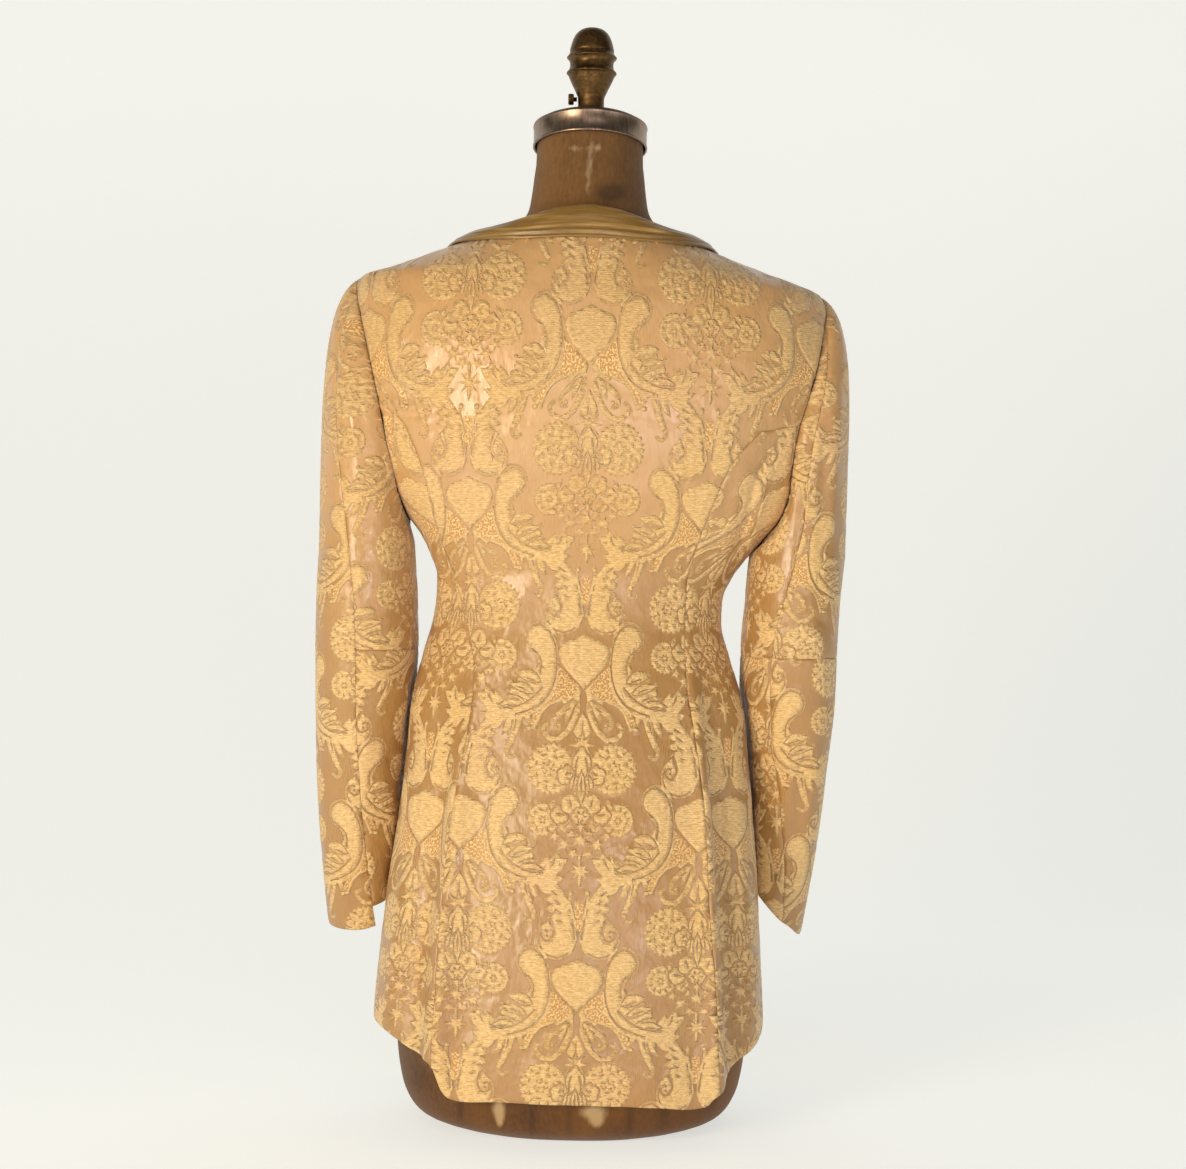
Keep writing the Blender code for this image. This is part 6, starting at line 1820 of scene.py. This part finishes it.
def collar_grid(base, theta, z, stand, fall, upright):
    """Points of the middle of the collar: up the stand, over the roll and down the fall."""
    outward = body_normal(theta, z)
    over = unit(np.cross(unit(np.gradient(base, axis=0)), outward))
    if over[len(over) // 2, 2] > 0:
        over = -over
    up = -over
    foot = base + up * (COLLAR_CLOTH / 2 + COLLAR_FOOT) + outward * 0.0002
    straight = np.array([0, 0, 0.8]) + up * 0.2
    rise = unit(straight * upright + (up * 0.9 + outward * 0.3) * (1 - upright))
    top = foot + rise * stand
    loose = 0.62 + 0.38 * np.minimum(stand / FULL_STAND, 1.0)
    roll = top - rise * 0.0004 * loose + outward * ROLL_OUT * loose
    edge, edge_normal = onto_body(base + over * fall, CLOTH / 2 + COLLAR_CLOTH / 2 + COLLAR_GAP)
    width = np.linalg.norm(edge - roll, axis=1, keepdims=True)
    swell = unit(edge_normal + outward) * (SWELL + SWELL_BY_WIDTH * width * (stand / FULL_STAND))
    guide = [foot, foot + rise * stand * 0.5 + outward * 0.0004]
    guide.append(top - rise * 0.0012 * loose + outward * 0.0008)
    guide += [top + rise * 0.0008 * loose + outward * 0.0028 * loose, roll]
    guide += [roll * (1 - t) + edge * t + swell * 2 * t * (1 - t) for t in (0.28, 0.55, 0.8, 1.0)]
    shares = np.linspace(0, len(guide) - 1, COLLAR_ACROSS)
    return np.stack([smooth_through(line, shares) for line in np.stack(guide, 1)])


def collar_creases(grid, from_edge):
    """Long soft folds in the back of the collar."""
    middle = grid[:, len(grid[0]) // 2]
    x = middle[:, 0][:, None]
    behind = middle[:, 1][:, None] < 0.01
    level = from_edge / np.maximum(from_edge.max(1, keepdims=True), 1e-6)
    total = np.zeros(from_edge.shape)
    for half, rows in COLLAR_FOLDS:
        line = np.array(rows)
        at = np.interp(x, line[:, 0] * 0.001, line[:, 1])
        height = np.interp(x, line[:, 0] * 0.001, line[:, 2], 0, 0) * 0.001
        total += behind * height * np.exp(-(((level - at) / half) ** 2))
    return total


def collar():
    """The turned-down satin collar with its piped edge."""
    theta, z, *sizes = neckline(COLLAR_ALONG)
    base = body(theta, z)
    grid = collar_grid(base, theta, z, *(size[:, None] for size in sizes))
    normal = unit(np.cross(np.gradient(grid, axis=0), np.gradient(grid, axis=1)))
    if normal[len(normal) // 2, -3, 1] > 0:
        normal = -normal
    from_edge = np.cumsum(np.linalg.norm(np.diff(grid[:, ::-1], axis=1), axis=2), axis=1)
    from_edge = np.concatenate([np.zeros((len(grid), 1)), from_edge], axis=1)[:, ::-1]
    pipe = sum(height * np.exp(-(((from_edge - at) / half) ** 2)) for at, height, half in COLLAR_EDGE)
    shape = pipe + collar_creases(grid, from_edge)
    outer = grid + normal * (COLLAR_CLOTH / 2 + shape)[..., None]
    inner = grid - normal * (COLLAR_CLOTH / 2)
    points = np.concatenate([outer.reshape(-1, 3), inner.reshape(-1, 3)])
    front = grid_faces(COLLAR_ALONG, COLLAR_ACROSS)
    count = COLLAR_ALONG * COLLAR_ACROSS
    order = np.arange(count).reshape(COLLAR_ALONG, COLLAR_ACROSS)
    rim = np.concatenate([order[0, :-1], order[:-1, -1], order[-1, :0:-1], order[:0:-1, 0]])
    after = np.roll(rim, -1)
    walls = [np.stack([after, rim, rim + count], 1), np.stack([after, rim + count, after + count], 1)]
    faces = np.concatenate([front, front[:, ::-1] + count, *walls])
    faces = faces_outwards(faces, points, normal.reshape(-1, 3)[front[:, 0]])
    thing = build_mesh("collar_satin", points, faces, np.zeros(len(faces)), [SATIN])
    run = run_along(base)
    flat = np.stack([run[:, None] + 0 * from_edge, from_edge, 0 * from_edge], 2).reshape(-1, 3)
    set_vector(thing, "cloth", np.concatenate([flat, flat]))
    wear(thing, "collar")


class Paint:
    """A node material under construction."""

    def __init__(self, name, **settings):
        self.material = bpy.data.materials.new(name)
        self.material.use_nodes = True
        self.tree = self.material.node_tree
        self.shader = self.tree.nodes["Principled BSDF"]
        for key, value in settings.items():
            self.shader.inputs[key.replace("_", " ")].default_value = value

    def node(self, kind, inputs, **settings):
        """A node with its settings, and its inputs linked to sockets or set to values."""
        made = self.tree.nodes.new("ShaderNode" + kind)
        for key, value in settings.items():
            setattr(made, key, value)
        for key, value in inputs.items():
            if hasattr(value, "is_output"):
                self.tree.links.new(value, made.inputs[key])
            else:
                made.inputs[key].default_value = value
        return made

    def attribute(self, name):
        return self.node("Attribute", {}, attribute_name=name).outputs["Vector"]

    def where(self):
        """Coordinates in metres on the object."""
        return self.node("TexCoord", {}).outputs["Object"]

    def parts(self, vector):
        """X, Y and Z of a vector."""
        return self.node("SeparateXYZ", {0: vector}).outputs

    def place(self, kind, scale):
        """Coordinates in metres, on the cloth or on the object, scaled each way."""
        source = self.attribute("cloth") if kind == "cloth" else self.where()
        return self.node("Mapping", {"Vector": source, "Scale": scale}).outputs["Vector"]

    def noise(self, kind, scale, detail=2.0, rough=0.5, distortion=0.0):
        """Noise over the cloth or the object, finer where the scale is larger."""
        inputs = {"Scale": 1.0, "Detail": detail, "Roughness": rough, "Distortion": distortion}
        return self.node("TexNoise", {"Vector": self.place(kind, scale), **inputs}).outputs["Fac"]

    def wave(self, kind, scale, distortion, detail=1.0, along="Y", rough=1.0):
        """Wavy bands over the cloth or the object."""
        inputs = {"Scale": 1.0, "Distortion": distortion, "Detail": detail, "Detail Scale": rough}
        inputs["Vector"] = self.place(kind, scale)
        return self.node("TexWave", inputs, wave_type="BANDS", bands_direction=along).outputs["Fac"]

    def fit(self, value, low, high, to_low=0.0, to_high=1.0):
        """A value's range moved to another range."""
        inputs = {"Value": value, "From Min": low, "From Max": high, "To Min": to_low, "To Max": to_high}
        return self.node("MapRange", inputs).outputs["Result"]

    def maths(self, operation, a, b):
        return self.node("Math", {0: a, 1: b}, operation=operation).outputs[0]

    def add(self, a, b):
        return self.maths("ADD", a, b)

    def times(self, a, b):
        return self.maths("MULTIPLY", a, b)

    def mix(self, share, a, b, blend="MIX"):
        """Two colours blended by a share."""
        a, b = ((*value, 1.0) if isinstance(value, tuple) else value for value in (a, b))
        return self.node("Mix", {0: share, 6: a, 7: b}, data_type="RGBA", blend_type=blend).outputs[2]

    def tint(self, colour, value, low, high, most, towards, blend="MIX"):
        """A colour blended towards another as a value goes from low to high."""
        return self.mix(self.fit(value, low, high, 0.0, most), colour, towards, blend)

    def bump(self, height, strength, distance, normal=None):
        inputs = {"Height": height, "Strength": strength, "Distance": distance}
        if normal is not None:
            inputs["Normal"] = normal
        return self.node("Bump", inputs).outputs["Normal"]

    def finish(self, colour, roughness=None, normal=None):
        for key, value in (("Base Color", colour), ("Roughness", roughness), ("Normal", normal)):
            if value is not None:
                self.tree.links.new(value, self.shader.inputs[key])
        return self.material


def aged(paint, colour):
    """Broad uneven toning of the old silk: golden patches and pinkish ones."""
    gold = paint.noise("cloth", (9, 7, 1))
    pink = paint.noise("cloth", (-13, 11, 1), 3.0)
    colour = paint.tint(colour, gold, 0.45, 0.70, 0.6, (1.0, 0.93, 0.72), "MULTIPLY")
    return paint.tint(colour, pink, 0.50, 0.72, 0.5, (0.97, 0.90, 1.0), "MULTIPLY")


def painted_sheen_share(paint):
    """Share of painted sheen over the lit upper back, which lightens the satin ground and dulls the motifs:
    most over the shoulders, less towards the right, none in the skirt.
    """
    place = paint.parts(paint.where())
    height = paint.add(place[2], paint.times(paint.noise("object", (9, 9, 9), 3.0), 0.16))
    height = paint.maths("SUBTRACT", height, paint.fit(place[0], 0.04, 0.16, 0.0, 0.11))
    return paint.fit(height, 0.46, 0.68)


def ground_cloth():
    """Satin ground: fine threads up the cloth, broad soft glints, painted shade along the motifs' edges and
    painted sheen over the shoulders.
    """
    paint = Paint("brocade_ground", Specular_IOR_Level=0.8, Sheen_Weight=0.10, Sheen_Roughness=0.4)
    threads = paint.noise("cloth", (1500, 110, 1))
    broad = paint.noise("cloth", (28, 20, 1))
    shade_beside_motif = paint.parts(paint.attribute("weave"))[0]
    colour = paint.mix(threads, (0.35, 0.190, 0.058), (0.49, 0.274, 0.088))
    colour = paint.tint(colour, broad, 0.35, 0.65, 0.35, (0.42, 0.212, 0.070))
    # Painted shade: the ground darkens where it meets the raised motifs
    colour = paint.tint(colour, shade_beside_motif, 0.34, 0.50, 0.45, (0.21, 0.102, 0.030))
    # Painted sheen: the ground is lightened towards a pale gold over the shoulders, standing in for the
    # satin's glints there
    colour = paint.mix(paint.times(painted_sheen_share(paint), 0.62), colour, (0.69, 0.420, 0.190))
    roughness = paint.fit(paint.add(threads, broad), 0.7, 1.3, 0.22, 0.46)
    ripple = paint.bump(paint.noise("cloth", (75, 55, 1)), 0.45, 0.004)
    return paint.finish(aged(paint, colour), roughness, paint.bump(threads, 0.30, 0.0004, ripple))


def motif_cloth():
    """Raised motifs: duller cream-gold thread, puffed up inside a sunk outline that is darkened by painted
    shade, crinkled in short ribs with painted shade in their hollows and painted highlights on their crests.
    """
    paint = Paint("brocade_motif", Specular_IOR_Level=0.4, Sheen_Weight=0.25, Sheen_Roughness=0.5)
    ribs = paint.wave("cloth", (190, 210, 1), 3.4, 2.0, "Y", 1.4)
    crinkle = paint.noise("cloth", (230, 640, 1), 2.0, 0.6, 0.6)
    grain = paint.noise("cloth", (900, 900, 1), 1.0)
    within = paint.parts(paint.attribute("weave"))[0]
    height = paint.add(paint.times(ribs, 0.16), paint.times(crinkle, 1.1))
    height = paint.add(height, paint.times(grain, 0.3))
    # Painted shade and highlight: the crinkle's hollows are coloured dark and its crests light
    colour = paint.mix(paint.fit(height, 0.50, 1.05), (0.53, 0.328, 0.116), (0.91, 0.640, 0.300))
    # Painted shade: the motif darkens towards its sunk outline
    colour = paint.tint(colour, within, 0.66, 0.50, 0.55, (0.36, 0.200, 0.068))
    # Painted light: the motifs are dulled where the painted sheen lies, so that they stand out less over the
    # shoulders
    colour = paint.mix(paint.times(painted_sheen_share(paint), 0.75), colour, (0.86, 0.83, 0.80), "MULTIPLY")
    puffed = paint.bump(paint.fit(within, 0.45, 0.95), 0.9, 0.0014)
    roughness = paint.fit(grain, 0.2, 0.8, 0.48, 0.64)
    return paint.finish(aged(paint, colour), roughness, paint.bump(height, 0.75, 0.0009, puffed))


def stipple_cloth():
    """Ground flecked with small raised knots of thread."""
    paint = Paint("brocade_stipple", Specular_IOR_Level=0.5, Sheen_Weight=0.2, Sheen_Roughness=0.5)
    fleck = paint.fit(paint.noise("cloth", (620, 560, 1), 1.0, 0.6), 0.46, 0.56)
    colour = aged(paint, paint.mix(fleck, (0.52, 0.275, 0.085), (0.86, 0.58, 0.25)))
    return paint.finish(colour, paint.fit(fleck, 0, 1, 0.40, 0.60), paint.bump(fleck, 0.6, 0.0008))


def wrong_side():
    """The cloth's inside, where the motifs' threads float as a dull haze."""
    paint = Paint("brocade_wrong_side", Specular_IOR_Level=0.3, Sheen_Weight=0.15)
    ribs = paint.wave("cloth", (260, 260, 1), 2.0, 2.0)
    broad = paint.noise("cloth", (45, 45, 1), 3.0)
    colour = paint.mix(broad, (0.34, 0.19, 0.07), (0.56, 0.36, 0.16))
    return paint.finish(colour, paint.fit(broad, 0, 1, 0.62, 0.75), paint.bump(ribs, 0.3, 0.0004))


def satin():
    """Plain gold satin with fine threads and faint slubs along it."""
    paint = Paint("collar_gold_satin", Specular_IOR_Level=0.7, Sheen_Weight=0.15, Sheen_Roughness=0.35)
    threads = paint.noise("cloth", (70, 1400, 1))
    slubs = paint.noise("cloth", (14, 240, 1), 3.0)
    colour = paint.mix(threads, (0.15, 0.080, 0.014), (0.30, 0.168, 0.036))
    colour = paint.tint(colour, slubs, 0.50, 0.68, 0.8, (0.48, 0.300, 0.085))
    normal = paint.bump(threads, 0.35, 0.0005, paint.bump(slubs, 0.35, 0.0016))
    return paint.finish(colour, paint.fit(threads, 0.3, 0.7, 0.26, 0.40), normal)


def linen():
    """Old brown linen: plain weave, darker stains and pale worn spots, and painted shade that darkens it
    towards the foot.
    """
    paint = Paint("brown_linen", Specular_IOR_Level=0.3, Sheen_Weight=0.12)
    warp, weft = (paint.wave("object", (420, 420, 420), 1.2, 1.0, along) for along in "XZ")
    broad = paint.noise("object", (9, 9, 5), 4.0, 0.6)
    fine = paint.noise("object", (420, 420, 160))
    worn, stained, _ = paint.parts(paint.attribute("marks"))
    colour = paint.mix(paint.fit(broad, 0.3, 0.7), (0.085, 0.036, 0.009), (0.225, 0.105, 0.026))
    colour = paint.tint(colour, fine, 0.35, 0.7, 0.4, (0.24, 0.125, 0.038))
    colour = paint.tint(colour, stained, 0.1, 0.9, 0.8, (0.055, 0.026, 0.010))
    worn = paint.add(worn, paint.times(fine, 0.25))
    colour = paint.tint(colour, worn, 0.3, 0.9, 0.85, (0.66, 0.52, 0.32))
    height = paint.parts(paint.where())[2]
    # Painted shade: the linen darkens towards the foot
    colour = paint.tint(colour, height, 0.09, 0.02, 1.0, (0.74, 0.62, 0.46), "MULTIPLY")
    normal = paint.bump(paint.add(paint.times(warp, weft), fine), 0.4, 0.0006)
    return paint.finish(colour, paint.fit(broad, 0.3, 0.7, 0.72, 0.88), normal)


def metal(name, dark, light, roughness, stretch, metallic=1.0):
    """Brushed and worn metal, its streaks finer along the axis where the stretch is larger."""
    paint = Paint(name, Metallic=metallic)
    brushed = paint.noise("object", stretch, 3.0, 0.6)
    marks = paint.noise("object", (60, 60, 60), 4.0, 0.6)
    colour = paint.mix(paint.fit(paint.add(brushed, marks), 0.7, 1.35), dark, light)
    return paint.finish(colour, paint.fit(marks, 0.3, 0.7, *roughness), paint.bump(brushed, 0.08, 0.0004))


def plain_floor():
    """Pale matt floor that glows a little, as a lit backdrop does."""
    paint = Paint("pale_floor", Specular_IOR_Level=0.1, Roughness=0.9, Emission_Strength=0.64)
    paint.shader.inputs["Emission Color"].default_value = (0.93, 0.945, 0.905, 1)
    tone = paint.noise("object", (0.6, 0.6, 0.6))
    return paint.finish(paint.mix(tone, (0.50, 0.505, 0.49), (0.51, 0.515, 0.50)))


CLOTH_MATERIALS = [ground_cloth(), motif_cloth(), stipple_cloth(), wrong_side()]
SATIN = satin()
LINEN = linen()
NICKEL = metal("brushed_nickel", (0.17, 0.12, 0.09), (0.40, 0.29, 0.21), (0.26, 0.40), (700, 700, 16))
BRONZE = metal(
    "dark_bronze", (0.045, 0.024, 0.007), (0.19, 0.105, 0.034), (0.28, 0.52), (260, 260, 420), 0.85,
)
CAP_METAL = metal("cap_bronze", (0.05, 0.03, 0.012), (0.14, 0.09, 0.04), (0.35, 0.55), (90, 90, 300), 0.85)


# Floor: its front edge, where it starts to curve up, radius and steps of the curve, wall top, half width
FLOOR_FRONT = -6.0
CURVE_FROM = 1.0
CURVE_RADIUS = 1.5
CURVE_STEPS = 12
WALL_TOP = 6.0
FLOOR_HALF = 8.0


def floor():
    """A plain pale floor that curves up into the backdrop."""
    profile = [(FLOOR_FRONT, 0.0), (CURVE_FROM, 0.0)]
    for k in range(1, CURVE_STEPS + 1):
        t = math.pi / 2 * k / CURVE_STEPS
        profile.append((CURVE_FROM + CURVE_RADIUS * math.sin(t), CURVE_RADIUS * (1 - math.cos(t))))
    profile.append((CURVE_FROM + CURVE_RADIUS, WALL_TOP))
    points = np.array([(x, y, z) for y, z in profile for x in (-FLOOR_HALF, FLOOR_HALF)])
    faces = grid_faces(len(profile), 2)
    build_mesh("studio_floor", points, faces, np.zeros(len(faces)), [plain_floor()])


def softbox(name, place, size, power, colour, aim):
    """A soft rectangular lamp that faces the height of its aim on the object's axis."""
    lamp = bpy.data.lights.new(name, "AREA")
    lamp.shape = "RECTANGLE"
    lamp.size, lamp.size_y = size
    lamp.energy = power
    lamp.color = colour
    thing = bpy.data.objects.new(name, lamp)
    thing.location = place
    thing.rotation_mode = "QUATERNION"
    thing.rotation_quaternion = (Vector((0, 0, aim)) - Vector(place)).to_track_quat("-Z", "Y")
    bpy.context.scene.collection.objects.link(thing)


# Name, place, size, power, colour and aim; the last two glint in the satin ground of the shoulder blades
LAMPS = (
    ("key_left", (-1.42, -2.0, 0.62), (0.8, 1.2), 39.5, (1.0, 0.86, 0.66), 0.40),
    ("over_camera", (0.25, -2.3, 2.1), (1.7, 0.6), 5, (1.0, 0.92, 0.90), 0.40),
    ("fill_right", (2.1, -1.9, 0.9), (1.0, 1.4), 0.4, (0.95, 0.96, 1.0), 0.40),
    ("low_glint", (0.35, -1.72, 0.25), (0.5, 0.2), 5.0, (1.0, 0.88, 0.90), 0.62),
    ("right_glint", (1.55, -1.60, 0.50), (0.3, 0.4), 1.8, (1.0, 0.90, 0.88), 0.62),
)


def studio():
    """The floor, the lamps and a faint even light from all round."""
    floor()
    for row in LAMPS:
        softbox(*row)
    world = bpy.data.worlds.new("studio_air")
    world.use_nodes = True
    air = world.node_tree.nodes["Background"].inputs
    air["Color"].default_value = (0.97, 0.93, 0.86, 1)
    air["Strength"].default_value = 0.16
    bpy.context.scene.world = world


def camera():
    """The photograph's view of the back."""
    bpy.context.scene.view_settings.view_transform = "Standard"
    lens = bpy.data.cameras.new("camera")
    lens.lens = 66.3
    lens.sensor_width = 36.0
    lens.clip_end = 60.0
    thing = bpy.data.objects.new("camera", lens)
    bpy.context.scene.collection.objects.link(thing)
    aim = Matrix.Rotation(math.radians(90), 4, "X") @ Matrix.Rotation(math.radians(1.2), 4, "Z")
    thing.matrix_world = Matrix.Translation((0.0105, -1.9, 0.462)) @ aim
    bpy.context.scene.camera = thing


coat()
collar()
linen_form()
metal_parts()
studio()
camera()
